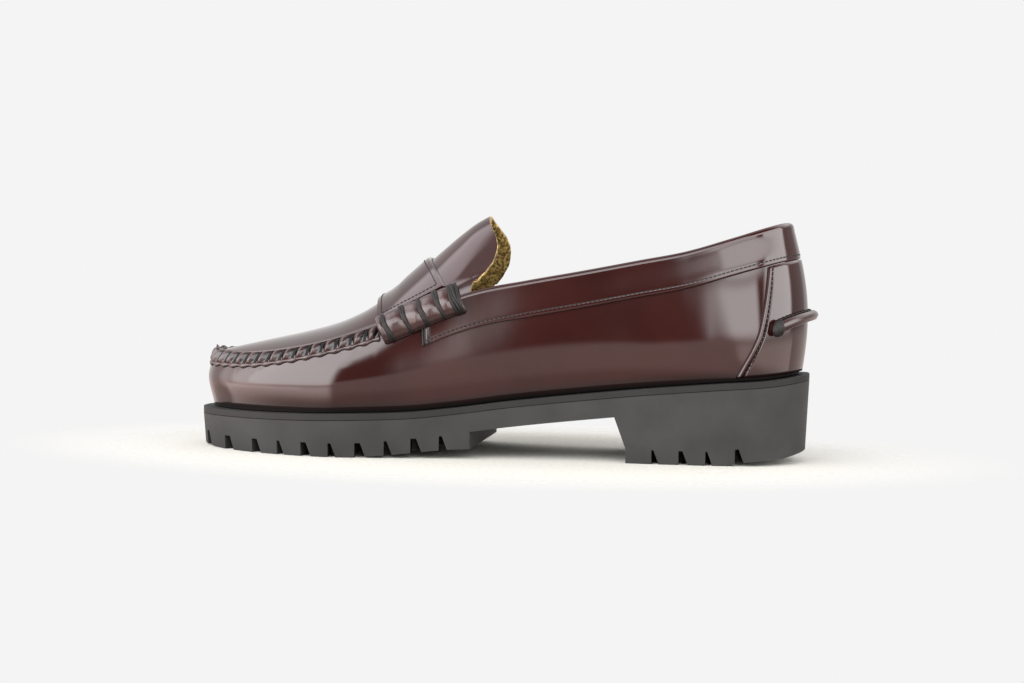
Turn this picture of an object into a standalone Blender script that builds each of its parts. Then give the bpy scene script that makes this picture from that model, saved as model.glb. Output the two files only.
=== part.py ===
"""Penny loafer on a lug sole, right shoe: solids of the sole, the upper and its overlays.

Metres, +Z up, +X to the toe, +Y to the inner side of the foot. The origin ends up in
the middle of the shoe's footprint, at floor level.
"""
import math

import bmesh
import bpy
import numpy as np

# Driving sizes, in metres
SOLE_LENGTH = 0.278
BALL_WIDTH = 0.0998
HEEL_HEIGHT = 0.0399        # floor to the top of the midsole, at the back
COLLAR_RISE = 0.0644        # collar above the midsole, at the back
INSTEP_RISE = 0.0826        # tip of the tongue above the midsole
WALL = 0.0020               # leather and lining of the upper
CLEARANCE = 0.0003          # between pieces that touch

# Sole
MIDSOLE_THICKNESS = 0.0030
SHANK_THICKNESS = 0.0115    # midsole and outsole together, under the arch
SIDE_TAPER = 0.0012         # how far the sole's side leans in at the floor
LUG_HEIGHT = 0.0062
LUG_DEPTH = 0.0125          # how far the side notches reach in
NOTCH_WIDE = 0.0049         # notch widths at the floor
NOTCH_SHUT = 0.0024         # how much narrower a notch is at its roof
CENTRE_LUG = 0.0165         # length of a centre lug's arms
CENTRE_LUG_ARM = 0.0058     # width of its arms
CENTRE_LUG_PLACES = (0.178, 0.617, 0.694, 0.772, 0.849)
HEEL_HOLLOW = (0.0, 0.232)  # stretches of the length that are hollow between the side lugs
FORE_HOLLOW = (0.572, 1.0)
FOREFOOT_END = 0.532        # share of the length where the forefoot lugs stop
BREAST_TOP = 0.303          # heel breast, at the shank and at the floor
BREAST_FOOT = 0.284

# Upper
FEATHER_INSET = 0.0048      # upper's foot inside the edge of the sole
INSOLE_THICKNESS = 0.0030
THROAT = 0.538              # share of the length where the tongue leaves the walls
SEAM_LIP = 0.0013           # height of the apron's raised edge
LIP_WIDTH = 0.0065
RIDGE_BLUNT = 0.15          # how soft the ridge of the apron is, as a share of its half width
BAND_HEIGHT = 0.0138        # collar band
BAND_THICKNESS = 0.0014
COUNTER_THICKNESS = 0.0012
STRAP_THICKNESS = 0.0018
STRAP_BED = 0.00045         # clearance under the strap, in the hollow of the instep
ROLL_THICKNESS = 0.0062     # beefroll, out from the upper
ROLL_REACH = 0.0058         # beefroll, down from the seam
ROLL_OVER = 0.75            # its reach in over the apron, as a share of that
ROLL_SLANT = 0.42           # lean of its windings, forward for each step up
HEEL_ROLL_HEIGHT = 0.0054
HEEL_ROLL_THICKNESS = 0.0042
HEEL_ROLL_TAPER = 0.25      # how much lower it is at the back than at its ends
TONGUE_INSET = 0.10         # share of its half width that the tongue keeps off the walls

# Outline of the sole: shares of the length, and of the ball width to either side
OUTLINE = [
    # along, inner, outer
    (0.000, 0.000, 0.000),
    (0.018, 0.166, 0.166),
    (0.065, 0.284, 0.286),
    (0.147, 0.326, 0.338),
    (0.237, 0.335, 0.348),
    (0.331, 0.328, 0.363),
    (0.424, 0.339, 0.406),
    (0.522, 0.376, 0.471),
    (0.612, 0.421, 0.516),
    (0.691, 0.459, 0.524),
    (0.763, 0.476, 0.503),
    (0.835, 0.431, 0.451),
    (0.899, 0.346, 0.371),
    (0.950, 0.240, 0.280),
    (0.983, 0.135, 0.172),
    (1.000, 0.000, 0.000),
]

# Top of the midsole: share of the length, share of the heel height
RIM = [
    # along, height
    (0.000, 1.000),
    (0.060, 0.947),
    (0.130, 0.910),
    (0.240, 0.842),
    (0.360, 0.749),
    (0.480, 0.647),
    (0.560, 0.569),
    (0.640, 0.511),
    (0.720, 0.489),
    (0.860, 0.461),
    (1.000, 0.441),
]

# Tread above the floor: share of the length, share of the heel height
TREAD = [
    # along, height
    (0.000, 0.150),
    (0.011, 0.125),
    (0.036, 0.080),
    (0.097, 0.040),
    (0.137, 0.000),
    (0.300, 0.000),
    (0.532, 0.113),
    (0.565, 0.105),
    (0.604, 0.078),
    (0.651, 0.040),
    (0.694, 0.014),
    (0.722, 0.000),
    (0.942, 0.000),
    (1.000, 0.028),
]

# Notches of either side: share of the length at the rear edge, share of the wide notch
NOTCHES = [
    # along, width
    (0.096, 0.84),
    (0.146, 0.64),
    (0.185, 0.84),
    (0.231, 0.67),
    (0.566, 0.75),
    (0.606, 1.00),
    (0.652, 0.75),
    (0.694, 1.00),
    (0.741, 0.75),
    (0.783, 1.00),
    (0.830, 0.75),
    (0.872, 1.00),
    (0.926, 1.00),
    (0.975, 0.75),
]

# Upper edge of the walls, seam in front and collar behind: share of the length, shares
# of the ball width to either side, and rises above the midsole in shares of COLLAR_RISE
EDGE = [
    # along, inner, outer, inner_rise, outer_rise
    (0.036, 0.000, 0.000, 1.020, 1.020),
    (0.046, 0.088, 0.088, 1.022, 1.018),
    (0.072, 0.162, 0.168, 1.003, 0.988),
    (0.126, 0.217, 0.237, 0.945, 0.916),
    (0.198, 0.249, 0.283, 0.876, 0.837),
    (0.270, 0.265, 0.311, 0.842, 0.796),
    (0.360, 0.281, 0.336, 0.806, 0.754),
    (0.450, 0.304, 0.361, 0.777, 0.723),
    (0.522, 0.330, 0.391, 0.753, 0.706),
    (0.576, 0.353, 0.416, 0.705, 0.660),
    (0.629, 0.374, 0.436, 0.627, 0.590),
    (0.683, 0.392, 0.449, 0.540, 0.528),
    (0.755, 0.402, 0.439, 0.458, 0.455),
    (0.827, 0.371, 0.396, 0.393, 0.393),
    (0.899, 0.286, 0.316, 0.352, 0.352),
    (0.946, 0.190, 0.225, 0.346, 0.346),
    (0.973, 0.095, 0.125, 0.346, 0.346),
    (0.982, 0.000, 0.000, 0.346, 0.346),
]

# Fullness of the walls: share of the length, bulge in shares of the ball width, and how
# far up the wall it is fullest
FULLNESS = [
    # along, bulge, at
    (0.000, 0.043, 0.50),
    (0.090, 0.043, 0.47),
    (0.250, 0.042, 0.42),
    (0.420, 0.036, 0.42),
    (0.560, 0.034, 0.45),
    (0.750, 0.036, 0.52),
    (0.900, 0.030, 0.58),
    (1.000, 0.026, 0.62),
]

# Ridge of the apron and tongue: share of the length, rise above the midsole in shares of
# INSTEP_RISE, and how boxy the arch below it is
RIDGE = [
    # along, rise, boxy
    (0.480, 1.050, 1.60),
    (0.525, 1.008, 1.60),
    (0.545, 0.980, 1.60),
    (0.572, 0.922, 1.60),
    (0.597, 0.859, 1.65),
    (0.624, 0.785, 1.75),
    (0.651, 0.708, 1.90),
    (0.676, 0.633, 2.05),
    (0.703, 0.578, 2.20),
    (0.730, 0.524, 2.30),
    (0.770, 0.466, 2.40),
    (0.824, 0.417, 2.50),
    (0.891, 0.369, 2.50),
    (0.928, 0.342, 2.50),
    (0.982, 0.300, 2.50),
]

# Rear edge of the tongue: share of its half width, share of the length
TONGUE_EDGE = [
    # across, along
    (0.00, 0.526),
    (0.25, 0.522),
    (0.45, 0.513),
    (0.57, 0.506),
    (0.70, 0.502),
    (0.83, 0.506),
    (0.90, 0.515),
    (1.00, 0.529),
]

# Front edge of the heel counter: share up the wall, share of the length
COUNTER_EDGE = [
    # up, along
    (0.00, 0.130),
    (0.15, 0.116),
    (0.25, 0.107),
    (0.40, 0.097),
    (0.60, 0.090),
    (1.00, 0.077),
]

# Windings along a beefroll, in shares of its length from the front
WINDINGS = (0.07, 0.30, 0.48, 0.675, 0.83, 0.93)
ROLL_SPAN = (0.550, 0.678)      # beefroll, in shares of the length
STRAP_SPAN = (0.620, 0.702)     # strap at the ridge, rear and front edge
STRAP_SIDE = (0.577, 0.686)     # strap at its ends
HALF_APRON = 0.4 * BALL_WIDTH   # half width of the apron at the rolls
ROLL_SHARE = ROLL_OVER * ROLL_REACH / HALF_APRON    # share of it that a roll covers
STRAP_GAP = 0.051               # share of it between the strap and a roll
STRAP_END = 1.0 - ROLL_SHARE - STRAP_GAP            # share that the strap covers
BAND_FRONT = 0.611              # front end of the collar band
HEEL_ROLL_SPAN = 0.077          # end of the heel roll, in shares of the length
HEEL_ROLL_RISE = (0.350, 0.405)     # its place up the wall, at its ends and at the back

TIP_CROWDING = 0.75         # how closely stations crowd towards heel and toe
REAR_STATIONS = 24          # stations of one side behind the throat, and before it
FRONT_STATIONS = 20
ACROSS = (0.14, 0.28, 0.42, 0.56, 0.70, STRAP_END, 0.91, 0.955)    # lines over half the apron
SAMPLES = 24                # curve samples between two rows of a table


def column(table, index):
    """One column of a table, as an array."""
    return np.array([row[index] for row in table], float)


def read(table, index, at):
    """Smooth value of a table's column at a share of its first column."""
    xs = column(table, 0)
    ys = column(table, index)
    step = np.diff(xs)
    slope = np.diff(ys) / step
    tangent = np.zeros(len(xs))
    same = slope[1:] * slope[:-1] > 0.0
    weight_a = 2.0 * step[1:] + step[:-1]
    weight_b = step[1:] + 2.0 * step[:-1]
    safe_a = np.where(same, slope[:-1], 1.0)
    safe_b = np.where(same, slope[1:], 1.0)
    mean = (weight_a + weight_b) / (weight_a / safe_a + weight_b / safe_b)
    tangent[1:-1] = np.where(same, mean, 0.0)
    tangent[0] = slope[0]
    tangent[-1] = slope[-1]
    at = np.clip(np.asarray(at, float), xs[0], xs[-1])
    i = np.clip(np.searchsorted(xs, at) - 1, 0, len(step) - 1)
    u = (at - xs[i]) / step[i]
    h00 = (1.0 + 2.0 * u) * (1.0 - u) ** 2
    h10 = u * (1.0 - u) ** 2
    h01 = u ** 2 * (3.0 - 2.0 * u)
    h11 = u ** 2 * (u - 1.0)
    return h00 * ys[i] + h10 * step[i] * tangent[i] + h01 * ys[i + 1] + h11 * step[i] * tangent[i + 1]


def closed_curve(points):
    """Smooth closed curve through the points, spaced by the lengths between them."""
    points = np.asarray(points, float)
    ahead = np.roll(points, -1, axis=0)
    behind = np.roll(points, 1, axis=0)
    span = np.linalg.norm(ahead - points, axis=1)[:, None]
    back = np.roll(span, 1, axis=0)
    tangent = ((ahead - points) / span * back + (points - behind) / back * span) / (span + back)
    u = (np.arange(SAMPLES) / SAMPLES)[None, :, None]
    p0 = points[:, None, :]
    p1 = ahead[:, None, :]
    t0 = (tangent * span)[:, None, :]
    t1 = (np.roll(tangent, -1, axis=0) * span)[:, None, :]
    curve = ((1 + 2 * u) * (1 - u) ** 2 * p0 + u * (1 - u) ** 2 * t0
             + u ** 2 * (3 - 2 * u) * p1 + u ** 2 * (u - 1) * t1)
    return curve.reshape(-1, points.shape[1])


def halves(curve):
    """Inner and outer half of a ring that starts at the heel, each from heel to toe."""
    toe = int(np.argmax(curve[:, 0]))
    inner = curve[:toe + 1]
    outer = np.vstack([curve[toe:], curve[:1]])[::-1]
    return inner, outer


def rim_height(x):
    """Height of the midsole's top at a place along the sole."""
    return HEEL_HEIGHT * read(RIM, 1, x / SOLE_LENGTH)


def tread_height(x):
    """Height of the lugs' underside above the floor."""
    share = np.asarray(x, float) / SOLE_LENGTH
    return HEEL_HEIGHT * np.interp(share, column(TREAD, 0), column(TREAD, 1))


def sole_curve(inset):
    """Outline of the sole as a dense ring, moved in by the inset."""
    rows = [(a * SOLE_LENGTH, i * BALL_WIDTH) for a, i, o in OUTLINE]
    rows += [(a * SOLE_LENGTH, -o * BALL_WIDTH) for a, i, o in OUTLINE[-2:0:-1]]
    curve = closed_curve(rows)
    along = np.roll(curve, -1, axis=0) - np.roll(curve, 1, axis=0)
    along /= np.linalg.norm(along, axis=1)[:, None]
    inward = np.stack([along[:, 1], -along[:, 0]], axis=1)
    return curve + inset * inward


def edge_curve():
    """Upper edge of the walls, as a dense ring in space."""
    rows = []
    for along, inner, outer, rise, outer_rise in EDGE:
        x = along * SOLE_LENGTH
        rows.append((x, inner * BALL_WIDTH, rim_height(x) + rise * COLLAR_RISE))
    for along, inner, outer, rise, outer_rise in EDGE[-2:0:-1]:
        x = along * SOLE_LENGTH
        rows.append((x, -outer * BALL_WIDTH, rim_height(x) + outer_rise * COLLAR_RISE))
    return closed_curve(rows)


def ease(a):
    """Place along the shoe for a station from 0 at the heel to 1 at the toe."""
    a = np.asarray(a, float)
    return TIP_CROWDING * (1.0 - np.cos(np.pi * a)) / 2.0 + (1.0 - TIP_CROWDING) * a


class Ring:
    """Closed curve read by a loop value: 0 heel, 0 to 1 inner side, 1 toe, 1 to 2 outer side."""

    def __init__(self, curve):
        self.inner, self.outer = halves(curve)
        self.start = self.inner[0, 0]
        self.length = self.inner[-1, 0] - self.start

    def at(self, s):
        """Points at an array of loop values."""
        s = np.mod(np.asarray(s, float), 2.0)
        inside = s <= 1.0
        x = self.start + self.length * ease(np.where(inside, s, 2.0 - s))
        parts = [x]
        for i in range(1, self.inner.shape[1]):
            near = np.interp(x, self.inner[:, 0], self.inner[:, i])
            far = np.interp(x, self.outer[:, 0], self.outer[:, i])
            parts.append(np.where(inside, near, far))
        return np.stack(parts, axis=-1)

    def loop_value(self, x):
        """Loop value on the inner side where the ring reaches x."""
        a = np.linspace(0.0, 1.0, 2001)
        return np.interp((x - self.start) / self.length, ease(a), a)


FOOT_RING = Ring(sole_curve(FEATHER_INSET))
EDGE_RING = Ring(edge_curve())
THROAT_STATION = float(EDGE_RING.loop_value(THROAT * SOLE_LENGTH))


def side_stations():
    """Loop values of one side, with a station at the throat."""
    rear = np.linspace(0.0, THROAT_STATION, REAR_STATIONS + 1)
    front = np.linspace(THROAT_STATION, 1.0, FRONT_STATIONS + 1)
    return np.concatenate([rear, front[1:]])


def stations_within(end):
    """Loop values round the heel, from the outer end to the inner end."""
    side = side_stations()
    side = np.append(side[side < end - 1e-3], end)
    return np.concatenate([-side[:0:-1], side])


def unit(vectors):
    """Vectors brought to unit length."""
    return vectors / np.linalg.norm(vectors, axis=-1)[..., None]


def wall(s, t):
    """Point of the upper's outer face: loop value s, share t of the way up the wall."""
    s, t = np.broadcast_arrays(np.asarray(s, float), np.asarray(t, float))
    foot = FOOT_RING.at(s)
    foot_z = rim_height(foot[..., 0]) + CLEARANCE
    foot = np.concatenate([foot, foot_z[..., None]], axis=-1)
    edge = EDGE_RING.at(s)
    step = 0.012
    along = FOOT_RING.at(s + step) - FOOT_RING.at(s - step)
    out = unit(np.stack([-along[..., 1], along[..., 0], 0.0 * s], axis=-1))
    share = foot[..., 0] / SOLE_LENGTH
    bulge = BALL_WIDTH * read(FULLNESS, 1, share)
    power = math.log(0.5) / np.log(read(FULLNESS, 2, share))
    swell = bulge * np.sin(np.pi * np.clip(t, 0.0, 1.0) ** power)
    return foot + (edge - foot) * t[..., None] + out * swell[..., None]


def wall_height(s):
    """Height of the wall from its foot to its edge."""
    foot = FOOT_RING.at(s)
    return EDGE_RING.at(s)[..., 2] - rim_height(foot[..., 0])


def apron(x, v):
    """Point of the apron and tongue: place x along, v from -1 outer to 1 inner edge."""
    x, v = np.broadcast_arrays(np.asarray(x, float), np.asarray(v, float))
    inner = np.stack([np.interp(x, EDGE_RING.inner[:, 0], EDGE_RING.inner[:, i])
                      for i in (1, 2)], axis=-1)
    outer = np.stack([np.interp(x, EDGE_RING.outer[:, 0], EDGE_RING.outer[:, i])
                      for i in (1, 2)], axis=-1)
    middle = (inner[..., 0] + outer[..., 0]) / 2.0
    side = np.where(v >= 0.0, inner[..., 0], outer[..., 0])
    edge_z = np.where(v >= 0.0, inner[..., 1], outer[..., 1])
    share = x / SOLE_LENGTH
    top = rim_height(x) + INSTEP_RISE * read(RIDGE, 1, share)
    boxy = read(RIDGE, 2, share)
    reach = np.abs(v)
    fall = (reach ** 2 + RIDGE_BLUNT ** 2) ** (boxy / 2) - RIDGE_BLUNT ** boxy
    fall /= (1.0 + RIDGE_BLUNT ** 2) ** (boxy / 2) - RIDGE_BLUNT ** boxy
    half = np.abs(side - middle)
    lip = SEAM_LIP * np.sin(np.pi * np.clip((1.0 - reach) * half / LIP_WIDTH, 0.0, 1.0))
    y = middle + reach * (side - middle)
    z = edge_z + (top - edge_z) * (1.0 - fall) + lip
    return np.stack([x, y, z], axis=-1)


def lifted(face, first, second, lift, flip=1.0):
    """Points of a face function moved out along its normal."""
    first, second, lift = np.broadcast_arrays(
        np.asarray(first, float), np.asarray(second, float), np.asarray(lift, float))
    step = 0.002
    scale = step * (SOLE_LENGTH if face is apron else 1.0)
    du = face(first + scale, second) - face(first - scale, second)
    dv = face(first, second + step) - face(first, second - step)
    return face(first, second) + unit(np.cross(du, dv)) * flip * lift[..., None]


def off_wall(s, t, lift):
    """Point off the walls by the lift."""
    return lifted(wall, s, t, lift, -1.0)


def off_apron(x, v, lift):
    """Point off the apron by the lift."""
    return lifted(apron, x, v, lift, 1.0)


def add_object(name, verts, faces, material):
    """New object from vertices and faces, with its normals facing out."""
    mesh = bpy.data.meshes.new(name)
    mesh.from_pydata([tuple(float(c) for c in p) for p in verts], [], faces)
    mesh.update()
    shape = bmesh.new()
    shape.from_mesh(mesh)
    bmesh.ops.recalc_face_normals(shape, faces=shape.faces)
    shape.to_mesh(mesh)
    shape.free()
    mesh.materials.append(material)
    obj = bpy.data.objects.new(name, mesh)
    bpy.context.scene.collection.objects.link(obj)
    return obj


def shell(name, inner, outer, material, missing=()):
    """Closed solid between two grids of points; faces listed as missing leave a hole."""
    rows, cols = inner.shape[:2]
    count = rows * cols
    verts = np.vstack([inner.reshape(-1, 3), outer.reshape(-1, 3)])
    faces = []
    edge_use = {}
    for i in range(rows - 1):
        for j in range(cols - 1):
            if (i, j) in missing:
                continue
            quad = (i * cols + j, (i + 1) * cols + j, (i + 1) * cols + j + 1, i * cols + j + 1)
            faces.append(quad[::-1])
            faces.append(tuple(q + count for q in quad))
            for a, b in zip(quad, quad[1:] + quad[:1]):
                if (b, a) in edge_use:
                    del edge_use[(b, a)]
                else:
                    edge_use[(a, b)] = True
    for a, b in edge_use:
        faces.append((a, b, b + count, a + count))
    return add_object(name, verts, faces, material)


def material(name, colour, roughness):
    """Principled material of one colour."""
    mat = bpy.data.materials.new(name)
    mat.use_nodes = True
    shader = mat.node_tree.nodes["Principled BSDF"]
    shader.inputs["Base Color"].default_value = (*colour, 1.0)
    shader.inputs["Roughness"].default_value = roughness
    shader.inputs["Metallic"].default_value = 0.0
    mat.diffuse_color = (*colour, 1.0)
    return mat


def slab(name, top, bottom, stations, top_inset, bottom_inset, mat, span=(0.0, 1.0)):
    """Plate with the sole's outline between two height functions of the place along.

    The span cuts the plate to a stretch of the length.
    """
    loops = []
    for inset, height in ((top_inset, top), (bottom_inset, bottom)):
        inner, outer = halves(sole_curve(inset))
        first = max(inner[0, 0], span[0] * SOLE_LENGTH)
        last = min(inner[-1, 0], span[1] * SOLE_LENGTH)
        x = first + (last - first) * ease(np.linspace(0.0, 1.0, stations + 1))
        y_in = np.interp(x, inner[:, 0], inner[:, 1])
        y_out = np.interp(x, outer[:, 0], outer[:, 1])
        z = height(x)
        loops.append((np.stack([x, y_in, z], 1), np.stack([x, y_out, z], 1)))
    verts = np.vstack([loops[0][0], loops[0][1], loops[1][0], loops[1][1]])
    n = stations + 1
    faces = []
    for k in range(stations):
        faces.append((k, k + 1, n + k + 1, n + k))
        faces.append((2 * n + k, 3 * n + k, 3 * n + k + 1, 2 * n + k + 1))
        faces.append((k, 2 * n + k, 2 * n + k + 1, k + 1))
        faces.append((n + k, n + k + 1, 3 * n + k + 1, 3 * n + k))
    faces.append((0, n, 3 * n, 2 * n))
    faces.append((n - 1, 3 * n - 1, 4 * n - 1, 2 * n - 1))
    obj = add_object(name, verts, faces, mat)
    shape = bmesh.new()
    shape.from_mesh(obj.data)
    bmesh.ops.remove_doubles(shape, verts=shape.verts, dist=1e-6)
    bmesh.ops.recalc_face_normals(shape, faces=shape.faces)
    shape.to_mesh(obj.data)
    shape.free()
    return obj


def prism(outline, start, direction, length):
    """Vertices and faces of an outline carried along a direction."""
    outline = np.asarray(outline, float)
    direction = np.asarray(direction, float)
    verts = np.vstack([outline + direction * start, outline + direction * (start + length)])
    n = len(outline)
    faces = [tuple(range(n)), tuple(range(2 * n - 1, n - 1, -1))]
    for i in range(n):
        j = (i + 1) % n
        faces.append((i, i + n, j + n, j))
    return verts, faces


def joined(name, pieces, mat):
    """One object from several vertex and face lists."""
    verts = []
    faces = []
    for piece_verts, piece_faces in pieces:
        base = len(verts)
        verts.extend(piece_verts)
        faces.extend(tuple(f + base for f in face) for face in piece_faces)
    return add_object(name, verts, faces, mat)


def combine(target, other, operation):
    """Boolean of one object with a guide that is left out of the model."""
    other.hide_render = True
    other.display_type = "WIRE"
    modifier = target.modifiers.new(other.name, "BOOLEAN")
    modifier.operation = operation
    modifier.object = other
    modifier.solver = "EXACT"


def notch_cutter(mat):
    """The side notches of both edges as one cutter."""
    edge = Ring(sole_curve(0.0))
    pieces = []
    for along, width_share in NOTCHES:
        width = NOTCH_WIDE * width_share
        roof = max(width - NOTCH_SHUT, width * 0.25)
        for side in (1.0, -1.0):
            s = float(edge.loop_value(along * SOLE_LENGTH)) * side
            here = edge.at(s)
            ahead = edge.at(s + 0.004 * side) - edge.at(s - 0.004 * side)
            toe_ward = np.array([ahead[0], ahead[1], 0.0])
            toe_ward /= np.linalg.norm(toe_ward)
            inward = np.array([toe_ward[1], -toe_ward[0], 0.0]) * side
            floor = float(tread_height(here[0] + width / 2))
            base = np.array([here[0], here[1], floor])
            profile = [(0.0, 0.0), (width - roof, LUG_HEIGHT), (width, LUG_HEIGHT), (width, 0.0)]
            slope = (width - roof) / LUG_HEIGHT
            below = 2.0 * LUG_HEIGHT
            profile[0] = (-slope * below, -below)
            profile[3] = (width, -below)
            ring = [base + toe_ward * q + np.array([0.0, 0.0, z]) for q, z in profile]
            pieces.append(prism(ring, -LUG_DEPTH / 2, inward, LUG_DEPTH * 1.5))
    return joined("notch_cutter", pieces, mat)


def shank_cutter(mat):
    """Space under the arch, from the heel breast to the last forefoot lugs."""
    front = FOREFOOT_END * SOLE_LENGTH
    rear = BREAST_TOP * SOLE_LENGTH
    foot = BREAST_FOOT * SOLE_LENGTH
    xs = np.linspace(front, rear, 9)
    outline = [(front, 0.0, -HEEL_HEIGHT)]
    outline += [(x, 0.0, float(rim_height(x)) - SHANK_THICKNESS) for x in xs]
    outline += [(foot, 0.0, LUG_HEIGHT), (foot, 0.0, -HEEL_HEIGHT)]
    verts, faces = prism(outline, -BALL_WIDTH, (0.0, 1.0, 0.0), 2.0 * BALL_WIDTH)
    return add_object("shank_cutter", verts, faces, mat)


def centre_lugs(mat):
    """Cross shaped lugs down the middle of the tread, rooted in the recess."""
    edge_in, edge_out = halves(sole_curve(0.0))
    half = CENTRE_LUG / 2
    arm = CENTRE_LUG_ARM / 2
    cross = [(arm, arm), (arm, half), (-arm, half), (-arm, arm), (-half, arm), (-half, -arm),
             (-arm, -arm), (-arm, -half), (arm, -half), (arm, -arm), (half, -arm), (half, arm)]
    pieces = []
    for along in CENTRE_LUG_PLACES:
        x = along * SOLE_LENGTH
        y = (np.interp(x, edge_in[:, 0], edge_in[:, 1])
             + np.interp(x, edge_out[:, 0], edge_out[:, 1])) / 2
        floor = float(tread_height(x))
        root = LUG_HEIGHT + MIDSOLE_THICKNESS / 2
        ring = [(x + p, y + q, floor) for p, q in cross]
        pieces.append(prism(ring, 0.0, (0.0, 0.0, 1.0), root))
    return joined("centre_lugs", pieces, mat)


def build_outsole(mat):
    """Outsole with its heel, arch, side notches and centre lugs."""
    def top(x):
        return rim_height(x) - MIDSOLE_THICKNESS - CLEARANCE

    def recess_roof(x):
        return tread_height(x) + LUG_HEIGHT

    def below(x):
        return 0.0 * x - HEEL_HEIGHT / 4

    body = slab("outsole", top, tread_height, 54, 0.0, SIDE_TAPER, mat)
    combine(body, shank_cutter(mat), "DIFFERENCE")
    for name, span, stations in (("heel_recess", HEEL_HOLLOW, 10),
                                 ("forefoot_recess", FORE_HOLLOW, 20)):
        recess = slab(name, recess_roof, below, stations, LUG_DEPTH, LUG_DEPTH, mat, span)
        combine(body, recess, "DIFFERENCE")
    combine(body, notch_cutter(mat), "DIFFERENCE")
    combine(body, centre_lugs(mat), "UNION")
    return body


def build_midsole(mat):
    """Thin slab between the outsole and the upper."""
    def bottom(x):
        return rim_height(x) - MIDSOLE_THICKNESS

    return slab("midsole", rim_height, bottom, 40, 0.0, 0.0, mat)


def build_insole(mat):
    """Insole board inside the foot of the walls."""
    inset = FEATHER_INSET + WALL + CLEARANCE

    def bottom(x):
        return rim_height(x) + CLEARANCE

    def top(x):
        return rim_height(x) + CLEARANCE + INSOLE_THICKNESS

    return slab("insole", top, bottom, 30, inset, inset, mat)


def build_upper(mat):
    """Walls, apron and tongue as one hollow skin, open at the collar and underneath."""
    inner_side = side_stations()
    loop = np.concatenate([inner_side, 2.0 - inner_side[-2:0:-1]])
    shares = np.array([0.0, 0.08, 0.2, 0.34, 0.48, 0.62, 0.76, 0.88, 0.96, 1.0])
    grid = wall(loop[:, None], shares[None, :])
    n_loop, n_up = grid.shape[:2]
    verts = list(grid.reshape(-1, 3))
    faces = []
    for i in range(n_loop):
        k = (i + 1) % n_loop
        for j in range(n_up - 1):
            faces.append((i * n_up + j, k * n_up + j, k * n_up + j + 1, i * n_up + j + 1))

    half = np.array((*ACROSS, 1.0))
    across = np.concatenate([half[::-1], [0.0], -half])
    n_across = len(across)
    throat = REAR_STATIONS
    toe = len(inner_side) - 1
    lines = []
    for k in range(throat, toe):
        x = float(EDGE_RING.at(inner_side[k])[0])
        line = [k * n_up + n_up - 1]
        for v in across[1:-1]:
            line.append(len(verts))
            verts.append(apron(x, v))
        line.append((n_loop - k) * n_up + n_up - 1)
        lines.append(line)
    steps = 4
    start = THROAT * SOLE_LENGTH
    ahead = lines[0]
    for r in range(1, steps + 1):
        line = []
        for v in across:
            width = v * (1.0 - TONGUE_INSET * min(1.0, 2.0 * r / steps) ** 0.5)
            end = SOLE_LENGTH * float(read(TONGUE_EDGE, 1, abs(v)))
            line.append(len(verts))
            verts.append(apron(start + (end - start) * r / steps, width))
        for j in range(n_across - 1):
            faces.append((line[j], ahead[j], ahead[j + 1], line[j + 1]))
        ahead = line
    for back, fore in zip(lines[:-1], lines[1:]):
        for j in range(n_across - 1):
            faces.append((back[j], fore[j], fore[j + 1], back[j + 1]))
    tip = toe * n_up + n_up - 1
    for j in range(n_across - 1):
        faces.append((lines[-1][j], tip, lines[-1][j + 1]))

    obj = add_object("upper", verts, faces, mat)
    sheet = bmesh.new()
    sheet.from_mesh(obj.data)
    sheet.faces.ensure_lookup_table()
    probe = max(sheet.faces, key=lambda f: abs(f.calc_center_median().y))
    centre = probe.calc_center_median()
    if probe.normal.y * centre.y < 0.0:
        bmesh.ops.reverse_faces(sheet, faces=sheet.faces)
    sheet.to_mesh(obj.data)
    sheet.free()
    skin = obj.modifiers.new("wall", "SOLIDIFY")
    skin.thickness = WALL
    skin.offset = -1.0
    skin.use_even_offset = True
    return obj


def build_collar_band(mat):
    """Band around the collar, its ends under the beefrolls."""
    end = float(EDGE_RING.loop_value(BAND_FRONT * SOLE_LENGTH))
    s = stations_within(end)[:, None]
    low = 1.0 - BAND_HEIGHT / wall_height(s)
    share = np.array([0.0, 0.08, 0.3, 0.55, 0.8, 0.94, 1.0])[None, :]
    t = low + (1.0 - low) * share
    body = BAND_THICKNESS * np.clip(np.sin(np.pi * share) * 2.0, 0.45, 1.0)
    inner = off_wall(s, t, CLEARANCE)
    return shell("collar_band", inner, off_wall(s, t, CLEARANCE + body), mat)


def build_counter(mat):
    """Heel counter below the collar band."""
    up = np.array([0.0, 0.04, 0.15, 0.3, 0.5, 0.7, 0.85, 0.96, 1.0])[None, :]
    across = np.linspace(-1.0, 1.0, 23)[:, None]
    end = EDGE_RING.loop_value(SOLE_LENGTH * read(COUNTER_EDGE, 1, up))
    s = across * end
    gap = CLEARANCE / wall_height(s)
    foot = (2.0 * CLEARANCE + COUNTER_THICKNESS) / wall_height(s)
    top = 1.0 - BAND_HEIGHT / wall_height(s) - 1.5 * gap
    t = foot + (top - foot) * up
    return shell("heel_counter", off_wall(s, t, CLEARANCE),
                 off_wall(s, t, CLEARANCE + COUNTER_THICKNESS), mat)


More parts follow.
